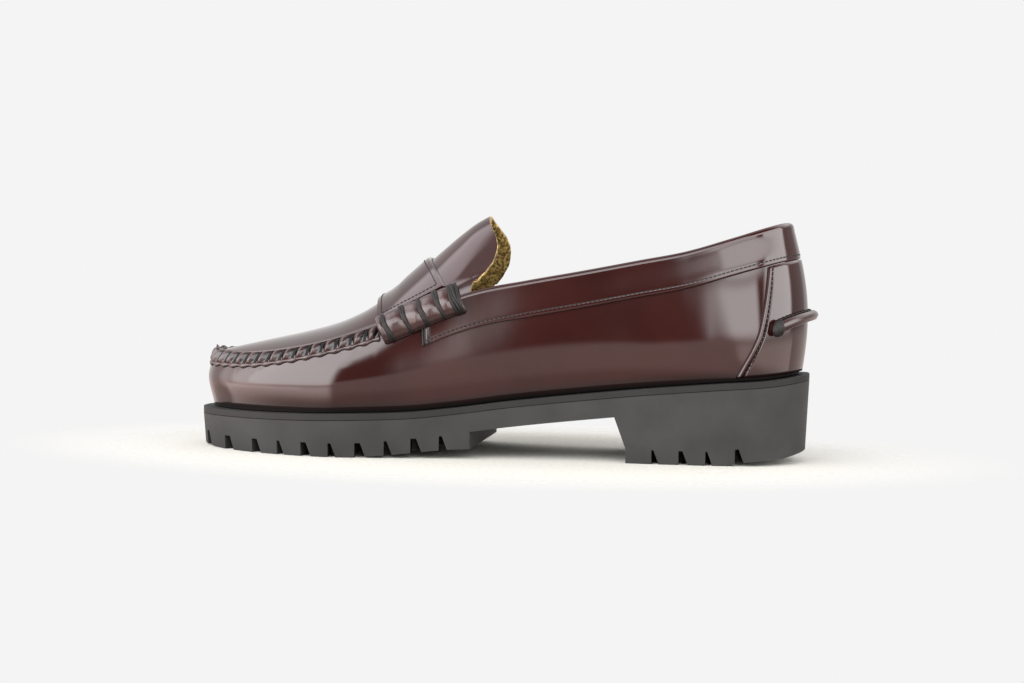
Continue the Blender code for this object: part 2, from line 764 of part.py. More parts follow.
def build_strap(mat):
    """Saddle strap across the instep, with its slot."""
    half = np.array([v for v in ACROSS if v < STRAP_END - 0.01] + [STRAP_END])
    across = np.concatenate([-half[::-1], [0.0], half])[None, :]
    middle = len(half)
    share = np.array([0.0, 0.2, 0.42, 0.56, 0.8, 1.0])[:, None]
    outward = np.abs(across / STRAP_END) ** 1.6
    rear = STRAP_SPAN[0] + (STRAP_SIDE[0] - STRAP_SPAN[0]) * outward
    fore = STRAP_SPAN[1] + (STRAP_SIDE[1] - STRAP_SPAN[1]) * outward
    x = SOLE_LENGTH * (rear + (fore - rear) * share)
    slot = {(2, j) for j in range(middle - 2, middle + 2)}
    return shell("strap", off_apron(x, across, STRAP_BED),
                 off_apron(x, across, STRAP_BED + STRAP_THICKNESS), mat, slot)


def build_beefroll(name, side, mat):
    """Rolled end of the strap, bound at its windings, along the seam of one side."""
    rear, fore = ROLL_SPAN
    u = np.linspace(0.0, 1.0, 27)
    w = np.array([-1.0, -0.8, -0.45, 0.0, 0.45, 0.8, 1.0])
    inner = np.zeros((len(u), len(w), 3))
    outer = np.zeros_like(inner)
    for i, share in enumerate(u):
        near = min(abs(share - c) for c in WINDINGS)
        neck = 0.80 + 0.20 * min(1.0, near / 0.06)
        end = min(1.0, 0.55 + min(share, 1.0 - share) / 0.06)
        for j, c in enumerate(w):
            x = SOLE_LENGTH * (fore + (rear - fore) * share) + ROLL_SLANT * ROLL_REACH * c
            s = float(EDGE_RING.loop_value(x)) * side
            over_band = np.clip((BAND_FRONT + 0.02 - x / SOLE_LENGTH) / 0.014, 0.0, 1.0)
            round_off = math.sqrt(1.0 - 0.94 * c * c)
            bed = CLEARANCE
            if c <= 0.0:
                bed += over_band * (BAND_THICKNESS + CLEARANCE)
            height = ROLL_THICKNESS * neck * end * round_off + bed
            if c <= 0.0:
                t = 1.0 + c * ROLL_REACH / float(wall_height(s))
                inner[i, j] = off_wall(s, t, bed)
                outer[i, j] = off_wall(s, t, height)
            else:
                v = side * (1.0 - c * ROLL_SHARE)
                inner[i, j] = off_apron(x, v, bed)
                outer[i, j] = off_apron(x, v, height)
    return shell(name, inner, outer, mat)


def build_heel_roll(mat):
    """Rolled strip across the back of the heel."""
    end = float(EDGE_RING.loop_value(HEEL_ROLL_SPAN * SOLE_LENGTH))
    stations = np.linspace(-1.0, 1.0, 23)
    sides = 10
    bed = 2.0 * CLEARANCE + COUNTER_THICKNESS
    rings = []
    for c in stations:
        taper = 1.0 - HEEL_ROLL_TAPER * (1.0 - abs(c))
        t = HEEL_ROLL_RISE[1] + (HEEL_ROLL_RISE[0] - HEEL_ROLL_RISE[1]) * c * c
        half_up = taper * HEEL_ROLL_HEIGHT / 2
        half_out = HEEL_ROLL_THICKNESS / 2
        ring = []
        for k in range(sides):
            turn = 2.0 * math.pi * k / sides
            height = float(wall_height(c * end))
            up = t + half_up * math.cos(turn) / height
            ring.append(off_wall(c * end, up, bed + half_out * (1.02 + math.sin(turn))))
        rings.append(ring)
    verts = [p for ring in rings for p in ring]
    faces = []
    for i in range(len(rings) - 1):
        for k in range(sides):
            m = (k + 1) % sides
            faces.append((i * sides + k, (i + 1) * sides + k, (i + 1) * sides + m, i * sides + m))
    faces.append(tuple(range(sides)))
    faces.append(tuple(range((len(rings) - 1) * sides, len(rings) * sides))[::-1])
    return add_object("heel_roll", verts, faces, mat)


def settle(objects):
    """Move every mesh so that the origin is under the middle of the shoe's box."""
    depsgraph = bpy.context.evaluated_depsgraph_get()
    low = np.full(3, np.inf)
    high = np.full(3, -np.inf)
    for obj in objects:
        mesh = obj.evaluated_get(depsgraph).to_mesh()
        points = np.array([v.co for v in mesh.vertices])
        low = np.minimum(low, points.min(axis=0))
        high = np.maximum(high, points.max(axis=0))
    shift = np.array([(low[0] + high[0]) / 2, (low[1] + high[1]) / 2, low[2]])
    for obj in bpy.data.objects:
        if obj.type == "MESH":
            for vertex in obj.data.vertices:
                vertex.co = [c - d for c, d in zip(vertex.co, shift)]
    return shift


def main():
    """Clear the scene and build the shoe."""
    for obj in list(bpy.data.objects):
        bpy.data.objects.remove(obj, do_unlink=True)
    rubber = material("black rubber", (0.030, 0.030, 0.031), 0.72)
    edge_rubber = material("midsole rubber", (0.024, 0.023, 0.023), 0.66)
    leather = material("burgundy leather", (0.055, 0.011, 0.012), 0.22)
    dark_leather = material("dark burgundy leather", (0.040, 0.009, 0.010), 0.25)
    lining = material("insole leather", (0.180, 0.130, 0.060), 0.60)
    built = [
        build_outsole(rubber),
        build_midsole(edge_rubber),
        build_insole(lining),
        build_upper(leather),
        build_collar_band(leather),
        build_counter(leather),
        build_strap(leather),
        build_beefroll("beefroll_inner", 1.0, dark_leather),
        build_beefroll("beefroll_outer", -1.0, dark_leather),
        build_heel_roll(dark_leather),
    ]
    settle(built)


main()
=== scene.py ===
# %% [markdown]
# # A penny loafer on a lug sole
#
# This lesson dresses one right shoe: glossy burgundy leather over a black lug sole. The
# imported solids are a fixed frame. Each of them is either given a finish here or is
# replaced by a finer piece that keeps its place, its form and its size.
#
# Lengths are metres. The shoe points to +X, the inner side of the foot is +Y, up is +Z.

# %% Load the frame
import math

import bmesh
import bpy
import numpy as np
from mathutils import Matrix, Vector


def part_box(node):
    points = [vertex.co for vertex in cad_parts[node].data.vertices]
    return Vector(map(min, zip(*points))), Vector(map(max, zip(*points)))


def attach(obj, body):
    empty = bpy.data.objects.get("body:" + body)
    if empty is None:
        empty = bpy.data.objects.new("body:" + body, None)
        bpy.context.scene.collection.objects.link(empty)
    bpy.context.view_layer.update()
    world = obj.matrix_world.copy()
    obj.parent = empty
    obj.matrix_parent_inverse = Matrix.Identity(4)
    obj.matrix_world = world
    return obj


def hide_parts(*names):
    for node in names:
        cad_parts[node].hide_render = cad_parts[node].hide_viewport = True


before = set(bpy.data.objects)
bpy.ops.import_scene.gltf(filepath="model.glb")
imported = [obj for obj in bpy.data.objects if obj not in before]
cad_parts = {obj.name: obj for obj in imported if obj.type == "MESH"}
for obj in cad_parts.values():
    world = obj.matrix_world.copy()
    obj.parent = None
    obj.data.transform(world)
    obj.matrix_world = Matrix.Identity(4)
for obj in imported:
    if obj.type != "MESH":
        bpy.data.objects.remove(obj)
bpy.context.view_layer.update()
print("frame nodes:", sorted(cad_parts))

# %% [markdown]
# ## The camera
#
# A catalogue photograph is taken with a long lens from far away and from just above the
# floor, so that the sole keeps its straight lines. We set the camera first, because every
# later choice is seen through it. Its direction is built from two angles and a small
# roll, so each number can be read and changed by itself.

# %% Camera
VIEW_AZIMUTH = math.radians(188.0)
VIEW_PITCH = math.radians(3.5)
VIEW_ROLL = math.radians(1.0)
VIEW_DISTANCE = 1.150
LENS = 89.54                # focal length in mm, on a sensor 36 mm wide
LOOK_AT = Vector((-0.0038, 0.0105, 0.0510))

back = Vector((math.sin(VIEW_AZIMUTH) * math.cos(VIEW_PITCH),
               -math.cos(VIEW_AZIMUTH) * math.cos(VIEW_PITCH),
               math.sin(VIEW_PITCH)))
right = Vector((0.0, 0.0, 1.0)).cross(back).normalized()
up = back.cross(right)
turned_right = right * math.cos(VIEW_ROLL) + up * math.sin(VIEW_ROLL)
turned_up = up * math.cos(VIEW_ROLL) - right * math.sin(VIEW_ROLL)

camera = bpy.data.objects.new("camera", bpy.data.cameras.new("camera"))
camera.data.sensor_width = 36.0
camera.data.lens = LENS
camera.data.clip_start = 0.05
camera.data.clip_end = 20.0
pose = Matrix((turned_right, turned_up, back)).transposed().to_4x4()
pose.translation = LOOK_AT + back * VIEW_DISTANCE
camera.matrix_world = pose
bpy.context.scene.collection.objects.link(camera)
bpy.context.scene.camera = camera
print("camera at", [round(c, 3) for c in pose.translation])

# %% [markdown]
# ## Reading a shape from short tables
#
# A shoemaker describes a last by a few measured stations and lets the curves between them
# run fair. We do the same: each form is a short table, and `read` gives the smooth value
# between its rows without overshooting them. `closed_curve` does it for an outline.

# %% Curves through tables
SAMPLES = 24                # curve samples between two rows of a table


def column(table, index):
    """One column of a table, as an array."""
    return np.array([row[index] for row in table], float)


def capped(values):
    """Values held between 0 and 1."""
    return np.clip(values, 0.0, 1.0)


def smooth(share):
    """Share from 0 to 1 with a soft start and end."""
    return share * share * (3.0 - 2.0 * share)


def arrays(*values):
    """Numbers or arrays as arrays of one common shape."""
    return np.broadcast_arrays(*[np.asarray(value, float) for value in values])


def hermite(u, start, leave, end, arrive):
    """Cubic from start to end at a share u, with its direction at either end."""
    return ((1.0 + 2.0 * u) * (1.0 - u) ** 2 * start + u * (1.0 - u) ** 2 * leave
            + u ** 2 * (3.0 - 2.0 * u) * end + u ** 2 * (u - 1.0) * arrive)


def read(table, index, at):
    """Smooth value of a table's column at a share of its first column."""
    xs = column(table, 0)
    ys = column(table, index)
    step = np.diff(xs)
    slope = np.diff(ys) / step
    tangent = np.zeros(len(xs))
    same = slope[1:] * slope[:-1] > 0.0
    weight_a = 2.0 * step[1:] + step[:-1]
    weight_b = step[1:] + 2.0 * step[:-1]
    safe_a = np.where(same, slope[:-1], 1.0)
    safe_b = np.where(same, slope[1:], 1.0)
    mean = (weight_a + weight_b) / (weight_a / safe_a + weight_b / safe_b)
    tangent[1:-1] = np.where(same, mean, 0.0)
    tangent[0] = slope[0]
    tangent[-1] = slope[-1]
    at = np.clip(np.asarray(at, float), xs[0], xs[-1])
    i = np.clip(np.searchsorted(xs, at) - 1, 0, len(step) - 1)
    u = (at - xs[i]) / step[i]
    return hermite(u, ys[i], step[i] * tangent[i], ys[i + 1], step[i] * tangent[i + 1])


# %% Closed outlines
def closed_curve(points):
    """Smooth closed curve through the points, spaced by the lengths between them."""
    points = np.asarray(points, float)
    ahead = np.roll(points, -1, axis=0)
    behind = np.roll(points, 1, axis=0)
    span = np.linalg.norm(ahead - points, axis=1)[:, None]
    rear_span = np.roll(span, 1, axis=0)
    tangent = (ahead - points) / span * rear_span + (points - behind) / rear_span * span
    tangent /= span + rear_span
    u = (np.arange(SAMPLES) / SAMPLES)[None, :, None]
    leave = (tangent * span)[:, None, :]
    arrive = (np.roll(tangent, -1, axis=0) * span)[:, None, :]
    curve = hermite(u, points[:, None, :], leave, ahead[:, None, :], arrive)
    return curve.reshape(-1, points.shape[1])


def halves(curve):
    """Inner and outer half of a ring that starts at the heel, each from heel to toe."""
    toe = int(np.argmax(curve[:, 0]))
    return curve[:toe + 1], np.vstack([curve[toe:], curve[:1]])[::-1]


def on_curve(curve, x, index):
    """A curve's y (index 1) or z (index 2) where it passes x."""
    return np.interp(x, curve[:, 0], curve[:, index])


def unit(vectors):
    """Vectors brought to unit length."""
    return vectors / np.linalg.norm(vectors, axis=-1)[..., None]


def run_along(path):
    """Length of a path up to each of its points."""
    steps = np.linalg.norm(np.diff(path, axis=0), axis=1)
    return np.concatenate([[0.0], np.cumsum(steps)])


# %% [markdown]
# ## The sole's outline and heights
#
# Everything on a shoe is measured from the sole: the feather line, where the upper meets
# it, runs a few millimetres inside its edge. The same shares of length and width as in the
# frame give the outline, the top of the midsole and the tread. The frame was moved so that
# its origin is under the middle of the shoe, and `SHIFT` is that move, read off the frame.

# %% Sole sizes
SOLE_LENGTH = 0.278
BALL_WIDTH = 0.0998
HEEL_HEIGHT = 0.0399        # floor to the top of the midsole, at the back
CLEARANCE = 0.0003

OUTLINE = [
    # along, inner, outer
    (0.000, 0.000, 0.000),
    (0.018, 0.166, 0.166),
    (0.065, 0.284, 0.286),
    (0.147, 0.326, 0.338),
    (0.237, 0.335, 0.348),
    (0.331, 0.328, 0.363),
    (0.424, 0.339, 0.406),
    (0.522, 0.376, 0.471),
    (0.612, 0.421, 0.516),
    (0.691, 0.459, 0.524),
    (0.763, 0.476, 0.503),
    (0.835, 0.431, 0.451),
    (0.899, 0.346, 0.371),
    (0.950, 0.240, 0.280),
    (0.983, 0.135, 0.172),
    (1.000, 0.000, 0.000),
]

# Top of the midsole: share of the length, share of the heel height
RIM = [
    # along, height
    (0.000, 1.000),
    (0.060, 0.947),
    (0.130, 0.910),
    (0.240, 0.842),
    (0.360, 0.749),
    (0.480, 0.647),
    (0.560, 0.569),
    (0.640, 0.511),
    (0.720, 0.489),
    (0.860, 0.461),
    (1.000, 0.441),
]


def rim_height(x):
    """Height of the midsole's top at a place along the sole."""
    return HEEL_HEIGHT * read(RIM, 1, x / SOLE_LENGTH)


def sole_curve(inset):
    """Outline of the sole as a dense ring, moved in by the inset."""
    rows = [(a * SOLE_LENGTH, i * BALL_WIDTH) for a, i, o in OUTLINE]
    rows += [(a * SOLE_LENGTH, -o * BALL_WIDTH) for a, i, o in OUTLINE[-2:0:-1]]
    curve = closed_curve(rows)
    along = unit(np.roll(curve, -1, axis=0) - np.roll(curve, 1, axis=0))
    inward = np.stack([along[:, 1], -along[:, 0]], axis=1)
    return curve + inset * inward


sole_low = sole_curve(0.0).min(axis=0)
frame_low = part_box("midsole")[0]
SHIFT = np.array([frame_low[0] - sole_low[0], frame_low[1] - sole_low[1], 0.0])
print("shift of the frame in mm:", np.round(1000 * SHIFT, 2))

# %% [markdown]
# ## Rings that are read by a loop value
#
# The walls of the upper stand between two closed rings: the feather line below, and the
# apron seam and collar above. A loop value tells where we are on them: 0 at the back of
# the heel, up to 1 along the inner side to the toe, and on to 2 along the outer side.

# %% Rings
TIP_CROWDING = 0.75         # how closely stations crowd towards heel and toe


def ease(a):
    """Place along the shoe for a station from 0 at the heel to 1 at the toe."""
    a = np.asarray(a, float)
    return TIP_CROWDING * (1.0 - np.cos(np.pi * a)) / 2.0 + (1.0 - TIP_CROWDING) * a


class Ring:
    """Closed curve read by a loop value."""

    def __init__(self, curve):
        self.inner, self.outer = halves(curve)
        self.start = self.inner[0, 0]
        self.length = self.inner[-1, 0] - self.start

    def at(self, s):
        """Points at an array of loop values."""
        s = np.mod(np.asarray(s, float), 2.0)
        inside = s <= 1.0
        x = self.start + self.length * ease(np.where(inside, s, 2.0 - s))
        parts = [x]
        for i in range(1, self.inner.shape[1]):
            parts.append(np.where(inside, on_curve(self.inner, x, i), on_curve(self.outer, x, i)))
        return np.stack(parts, axis=-1)

    def loop_value(self, x):
        """Loop value on the inner side where the ring reaches x."""
        a = np.linspace(0.0, 1.0, 2001)
        return np.interp((x - self.start) / self.length, ease(a), a)


# %% [markdown]
# ## The walls as a function
#
# The leather of the walls swells outward between the feather line and the seam, most near
# the heel and the ball. One function, `wall`, gives any point of that surface. Every piece
# that lies on the leather is later built from the same function, a little further out, so
# that pieces follow each other exactly instead of being fitted by eye.

# %% Wall sizes
COLLAR_RISE = 0.0644        # collar above the midsole, at the back
FEATHER_INSET = 0.0048      # upper's foot inside the edge of the sole

# Upper edge of the walls: share of the length, shares of the ball width to either side,
# and rises above the midsole in shares of COLLAR_RISE
EDGE = [
    # along, inner, outer, inner_rise, outer_rise
    (0.036, 0.000, 0.000, 1.020, 1.020),
    (0.046, 0.088, 0.088, 1.022, 1.018),
    (0.072, 0.162, 0.168, 1.003, 0.988),
    (0.126, 0.217, 0.237, 0.945, 0.916),
    (0.198, 0.249, 0.283, 0.876, 0.837),
    (0.270, 0.265, 0.311, 0.842, 0.796),
    (0.360, 0.281, 0.336, 0.806, 0.754),
    (0.450, 0.304, 0.361, 0.777, 0.723),
    (0.522, 0.330, 0.391, 0.753, 0.706),
    (0.576, 0.353, 0.416, 0.705, 0.660),
    (0.629, 0.374, 0.436, 0.627, 0.590),
    (0.683, 0.392, 0.449, 0.540, 0.528),
    (0.755, 0.402, 0.439, 0.458, 0.455),
    (0.827, 0.371, 0.396, 0.393, 0.393),
    (0.899, 0.286, 0.316, 0.352, 0.352),
    (0.946, 0.190, 0.225, 0.346, 0.346),
    (0.973, 0.095, 0.125, 0.346, 0.346),
    (0.982, 0.000, 0.000, 0.346, 0.346),
]

# Fullness of the walls: share of the length, bulge in shares of the ball width, and how
# far up the wall it is fullest
FULLNESS = [
    # along, bulge, at
    (0.000, 0.043, 0.50),
    (0.090, 0.043, 0.47),
    (0.250, 0.042, 0.42),
    (0.420, 0.036, 0.42),
    (0.560, 0.034, 0.45),
    (0.750, 0.036, 0.52),
    (0.900, 0.030, 0.58),
    (1.000, 0.026, 0.62),
]


# %% Rings of the wall
def edge_point(along, across, rise):
    """Point of the upper edge, from its shares."""
    x = along * SOLE_LENGTH
    return x, across * BALL_WIDTH, rim_height(x) + rise * COLLAR_RISE


def edge_curve():
    """Upper edge of the walls, as a dense ring in space."""
    rows = [edge_point(row[0], row[1], row[3]) for row in EDGE]
    rows += [edge_point(row[0], -row[2], row[4]) for row in EDGE[-2:0:-1]]
    return closed_curve(rows)


FOOT_RING = Ring(sole_curve(FEATHER_INSET))
EDGE_RING = Ring(edge_curve())


# %% Wall function
def wall(s, t):
    """Point of the upper's outer face: loop value s, share t of the way up the wall."""
    s, t = arrays(s, t)
    foot = FOOT_RING.at(s)
    foot_z = rim_height(foot[..., 0]) + CLEARANCE
    foot = np.concatenate([foot, foot_z[..., None]], axis=-1)
    edge = EDGE_RING.at(s)
    step = 0.012
    along = FOOT_RING.at(s + step) - FOOT_RING.at(s - step)
    out = unit(np.stack([-along[..., 1], along[..., 0], 0.0 * s], axis=-1))
    share = foot[..., 0] / SOLE_LENGTH
    bulge = BALL_WIDTH * read(FULLNESS, 1, share)
    power = math.log(0.5) / np.log(read(FULLNESS, 2, share))
    swell = bulge * np.sin(np.pi * capped(t) ** power)
    return foot + (edge - foot) * t[..., None] + out * swell[..., None]


def wall_height(s):
    """Height of the wall from its foot to its edge."""
    foot = FOOT_RING.at(s)
    return EDGE_RING.at(s)[..., 2] - rim_height(foot[..., 0])


def wall_normal(s, t):
    """Outward direction of the walls."""
    step = 0.002
    along = wall(s + step, t) - wall(s - step, t)
    rise = wall(s, t + step) - wall(s, t - step)
    return unit(np.cross(rise, along))


def off_wall(s, t, lift):
    """Point off the walls by the lift."""
    s, t, lift = arrays(s, t, lift)
    return wall(s, t) + wall_normal(s, t) * lift[..., None]


print("wall height at the toe in mm:", round(float(1000 * wall_height(1.0)), 1))

# %% [markdown]
# ## The apron and tongue as a function
#
# The apron is the flat plug of leather that closes the top of the foot, and the tongue is
# its free end. It is an arch over the two seams: nearly flat across with steep shoulders
# over the toes, rounder at the instep. `apron` reads it by the share across, and
# `apron_at` by a place in plan, which is easier near the tip of the toe.

# %% Ridge
INSTEP_RISE = 0.0826        # tip of the tongue above the midsole
SEAM_LIP = 0.0013           # height of the apron's raised edge
LIP_WIDTH = 5.0 * SEAM_LIP
BLUNT = 0.15                # how soft the ridge is in the middle

# Ridge: share of the length, rise above the midsole in shares of INSTEP_RISE, and how
# boxy the arch below it is
RIDGE = [
    # along, rise, boxy
    (0.480, 1.050, 1.60),
    (0.525, 1.008, 1.60),
    (0.545, 0.980, 1.60),
    (0.572, 0.922, 1.60),
    (0.597, 0.859, 1.65),
    (0.624, 0.785, 1.75),
    (0.651, 0.708, 1.90),
    (0.676, 0.633, 2.05),
    (0.703, 0.578, 2.20),
    (0.730, 0.524, 2.30),
    (0.770, 0.466, 2.40),
    (0.824, 0.417, 2.50),
    (0.891, 0.369, 2.50),
    (0.928, 0.342, 2.50),
    (0.982, 0.300, 2.50),
]


# %% Apron function
def apron_sides(x):
    """Place and height of the seam on either side: inner y, inner z, outer y, outer z."""
    return [on_curve(half, x, i) for half in (EDGE_RING.inner, EDGE_RING.outer) for i in (1, 2)]


def apron(x, v):
    """Point of the apron and tongue: place x along, v from -1 outer to 1 inner edge."""
    x, v = arrays(x, v)
    inner_y, inner_z, outer_y, outer_z = apron_sides(x)
    middle = (inner_y + outer_y) / 2.0
    side = np.where(v >= 0.0, inner_y, outer_y)
    edge_z = np.where(v >= 0.0, inner_z, outer_z)
    share = x / SOLE_LENGTH
    top = rim_height(x) + INSTEP_RISE * read(RIDGE, 1, share)
    boxy = read(RIDGE, 2, share)
    reach = np.abs(v)
    fall = (reach ** 2 + BLUNT ** 2) ** (boxy / 2) - BLUNT ** boxy
    fall /= (1.0 + BLUNT ** 2) ** (boxy / 2) - BLUNT ** boxy
    half = np.abs(side - middle)
    lip = SEAM_LIP * np.sin(np.pi * capped((1.0 - reach) * half / LIP_WIDTH))
    y = middle + reach * (side - middle)
    z = edge_z + (top - edge_z) * (1.0 - fall) + lip
    return np.stack([x, y, z], axis=-1)


def apron_at(x, y):
    """Point of the apron above a place in plan."""
    inner_y, inner_z, outer_y, outer_z = apron_sides(x)
    middle = (inner_y + outer_y) / 2.0
    half = np.maximum((inner_y - outer_y) / 2.0, 1e-5)
    return apron(x, np.clip((y - middle) / half, -1.0, 1.0))


def apron_normal(x, y):
    """Upward direction of the apron above a place in plan."""
    step = 0.0006
    dx = apron_at(x + step, y) - apron_at(x - step, y)
    dy = apron_at(x, y + step) - apron_at(x, y - step)
    slope_x = dx[..., 2] / (2.0 * step)
    slope_y = dy[..., 2] / (2.0 * step)
    return unit(np.stack([-slope_x, -slope_y, 1.0 + 0.0 * slope_x], axis=-1))


def off_apron(x, v, lift):
    """Point off the apron by the lift."""
    x, v, lift = arrays(x, v, lift)
    step = 0.002
    along = apron(x + step * SOLE_LENGTH, v) - apron(x - step * SOLE_LENGTH, v)
    across = apron(x, v + step) - apron(x, v - step)
    return apron(x, v) + unit(np.cross(along, across)) * lift[..., None]


print("ridge over the ball in mm:", round(float(1000 * apron(0.2, 0.0)[2]), 1))

# %% [markdown]
# ## Beside the seam
#
# The apron seam, the rolls and the cords all lie on the line where wall and apron meet, at
# an angle. `beside_seam` gives a point a few millimetres below that line on the wall, or
# inside it on the apron, lifted along a direction that turns smoothly from one face to the
# other, so that a piece can be draped over the seam in one go.

# %% Beside the seam
TURN = 0.0030               # how far to either side the direction keeps turning


def beside_seam(s, across, lift):
    """Point near the seam: across is in from it on the apron, or negative down the wall."""
    s, across, lift = arrays(s, across, lift)
    t = 1.0 + np.minimum(across, 0.0) / wall_height(s)
    on_wall = wall(s, t)
    edge = EDGE_RING.at(s)
    step = 0.003
    along = EDGE_RING.at(s + step) - EDGE_RING.at(s - step)
    inward = unit(np.stack([along[..., 1], -along[..., 0]], axis=-1))
    reach = np.maximum(across, 0.0)
    x = edge[..., 0] + inward[..., 0] * reach
    y = edge[..., 1] + inward[..., 1] * reach
    on_apron = apron_at(x, y)
    weight = smooth(capped(0.5 + 0.5 * across / TURN))[..., None]
    probe = inward * np.maximum(reach, 0.0010)[..., None]
    up_out = apron_normal(edge[..., 0] + probe[..., 0], edge[..., 1] + probe[..., 1])
    direction = unit(wall_normal(s, np.minimum(t, 0.97)) * (1.0 - weight) + up_out * weight)
    base = np.where(across[..., None] <= 0.0, on_wall, on_apron)
    return base + direction * lift[..., None]


# %% [markdown]
# ## Making pieces from points
#
# Every form here is a grid of points, so a handful of helpers is enough: one that numbers
# the faces of a grid, one that turns points and faces into a piece that rides on the
# frame, one for a skin with two faces and closed edges, and one for round cords.

# %% Pieces
FINISHES = {}               # the record's material slots and their finishes
SAME_PLACE = 2e-6           # points closer than this are one point


def grid_faces(rows, cols, closed_rows=False, closed_cols=False):
    """Faces between the points of a grid, its rows or columns closed to a loop if asked."""
    i, j = np.meshgrid(np.arange(rows if closed_rows else rows - 1),
                       np.arange(cols if closed_cols else cols - 1), indexing="ij")
    k = (i + 1) % rows
    m = (j + 1) % cols
    corners = [i * cols + j, k * cols + j, k * cols + m, i * cols + m]
    return np.stack(corners, -1).reshape(-1, 4).tolist()


def cleaned(mesh, same_place, outward=True, flat=None):
    """Join a mesh's points that coincide, turn its faces outward, join its flat faces."""
    shape = bmesh.new()
    shape.from_mesh(mesh)
    bmesh.ops.remove_doubles(shape, verts=shape.verts, dist=same_place)
    if outward:
        bmesh.ops.recalc_face_normals(shape, faces=shape.faces)
    if flat is not None:
        bmesh.ops.dissolve_limit(shape, angle_limit=flat, verts=shape.verts, edges=shape.edges)
    shape.to_mesh(mesh)
    shape.free()


def new_object(name, verts, faces, outward=True):
    """New object from points and faces."""
    mesh = bpy.data.meshes.new(name)
    mesh.from_pydata((np.asarray(verts, float) + SHIFT).tolist(), [], faces)
    cleaned(mesh, SAME_PLACE, outward)
    obj = bpy.data.objects.new(name, mesh)
    bpy.context.scene.collection.objects.link(obj)
    return obj


def add_piece(name, verts, faces, slot, nodes=(), outward=True, more_slots=()):
    """New piece that rides on the frame and takes the finish of a material slot."""
    obj = new_object(name, verts, faces, outward)
    mesh = obj.data
    mesh.shade_smooth()
    for each in (slot, *more_slots):
        mesh.materials.append(FINISHES[each])
    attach(obj, "root")
    if nodes:
        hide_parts(*nodes)
    print(name, len(mesh.polygons), "faces")
    return obj


# %% Skins and cords
def skin(inner, outer):
    """Points and faces of a closed skin between two grids of the same size."""
    rows, cols = inner.shape[:2]
    count = rows * cols
    verts = np.vstack([inner.reshape(-1, 3), outer.reshape(-1, 3)])
    under = grid_faces(rows, cols)
    faces = [face[::-1] for face in under]
    faces += [[q + count for q in face] for face in under]
    number = np.arange(count).reshape(rows, cols)
    rim = [*number[:, 0], *number[-1, 1:], *number[-2::-1, -1], *number[0, -2:0:-1]]
    rim = [int(q) for q in rim]
    for a, b in zip(rim, rim[1:] + rim[:1]):
        faces.append([a, b, b + count, a + count])
    return verts, faces


def tube(path, radius, sides, facing=(0.0, 0.0, 1.0)):
    """Points and faces of a round cord; facing is a direction that the path never takes."""
    path = np.asarray(path, float)
    radius = np.broadcast_to(np.asarray(radius, float), (len(path),))
    along = unit(np.gradient(path, axis=0))
    side = unit(np.cross(along, np.asarray(facing, float)) + 1e-9)
    lift = np.cross(side, along)
    turn = 2.0 * np.pi * np.arange(sides) / sides
    ring = (side[:, None, :] * np.cos(turn)[None, :, None]
            + lift[:, None, :] * np.sin(turn)[None, :, None])
    verts = path[:, None, :] + ring * radius[:, None, None]
    verts = np.vstack([verts.reshape(-1, 3),
                       path[:1] - along[:1] * radius[0] * 0.5,
                       path[-1:] + along[-1:] * radius[-1] * 0.5])
    faces = grid_faces(len(path), sides, closed_cols=True)
    first = len(path) * sides
    last = (len(path) - 1) * sides
    for k in range(sides):
        m = (k + 1) % sides
        faces.append([first, m, k])
        faces.append([first + 1, last + k, last + m])
    return verts, faces


def bundle(parts):
    """One set of points and faces from several."""
    verts = []
    faces = []
    base = 0
    for part_verts, part_faces in parts:
        verts.append(part_verts)
        faces.extend([[q + base for q in face] for face in part_faces])
        base += len(part_verts)
    return np.vstack(verts), faces


# %% Rows of stitches
def spaced(path, pitch):
    """Points along a path at an even pitch, and the direction of the path at each."""
    path = np.asarray(path, float)
    run = run_along(path)
    count = max(2, int(round(run[-1] / pitch)))
    at = (np.arange(count) + 0.5) * run[-1] / count
    behind, points, ahead = [
        np.stack([np.interp(at + shift, run, path[:, i]) for i in range(3)], axis=-1)
        for shift in (-pitch / 4, 0.0, pitch / 4)]
    return points, unit(ahead - behind)


THREAD_FACING = (0.31, 0.12, 0.94)      # no row of stitches runs this way


def stitches(path, pitch, length, radius):
    """Points and faces of a row of short stitches along a path."""
    points, along = spaced(path, pitch)
    shares = np.array([-0.5, -0.3, 0.3, 0.5])
    girth = np.array([0.45, 1.0, 1.0, 0.45]) * radius
    return bundle([tube(point + direction * shares[:, None] * length, girth, 6, THREAD_FACING)
                   for point, direction in zip(points, along)])


# %% [markdown]
# ## Finishes
#
# The leather is brushed cowhide under a hard, clear gloss: nearly a mirror, with a faint
# grain that only shows where a reflection ends. So most of its look comes from a smooth
# coat over a dark, slightly uneven red. The lining is uncoated and mottled, the rubber is
# matt with a fine moulded grain, and the cord is waxed. Each is a small set of nodes that
# read the object's own coordinates, so the finish stays put from every side.

# %% Shader nodes
def feed(tree, node, inputs):
    """Set a node's inputs, each to a value or to the output of another node."""
    for name, value in inputs.items():
        if isinstance(value, bpy.types.NodeSocket):
            tree.links.new(value, node.inputs[name])
        else:
            node.inputs[name].default_value = value


def add_node(tree, kind, inputs):
    """New shader node of a kind, with its inputs."""
    node = tree.nodes.new("ShaderNode" + kind)
    feed(tree, node, inputs)
    return node


def new_finish(name):
    """Empty finish: its nodes, its shader and the object's own coordinates."""
    finish = bpy.data.materials.new(name)
    finish.use_nodes = True
    tree = finish.node_tree
    return finish, tree, tree.nodes["Principled BSDF"], add_node(tree, "TexCoord", {}).outputs["Object"]


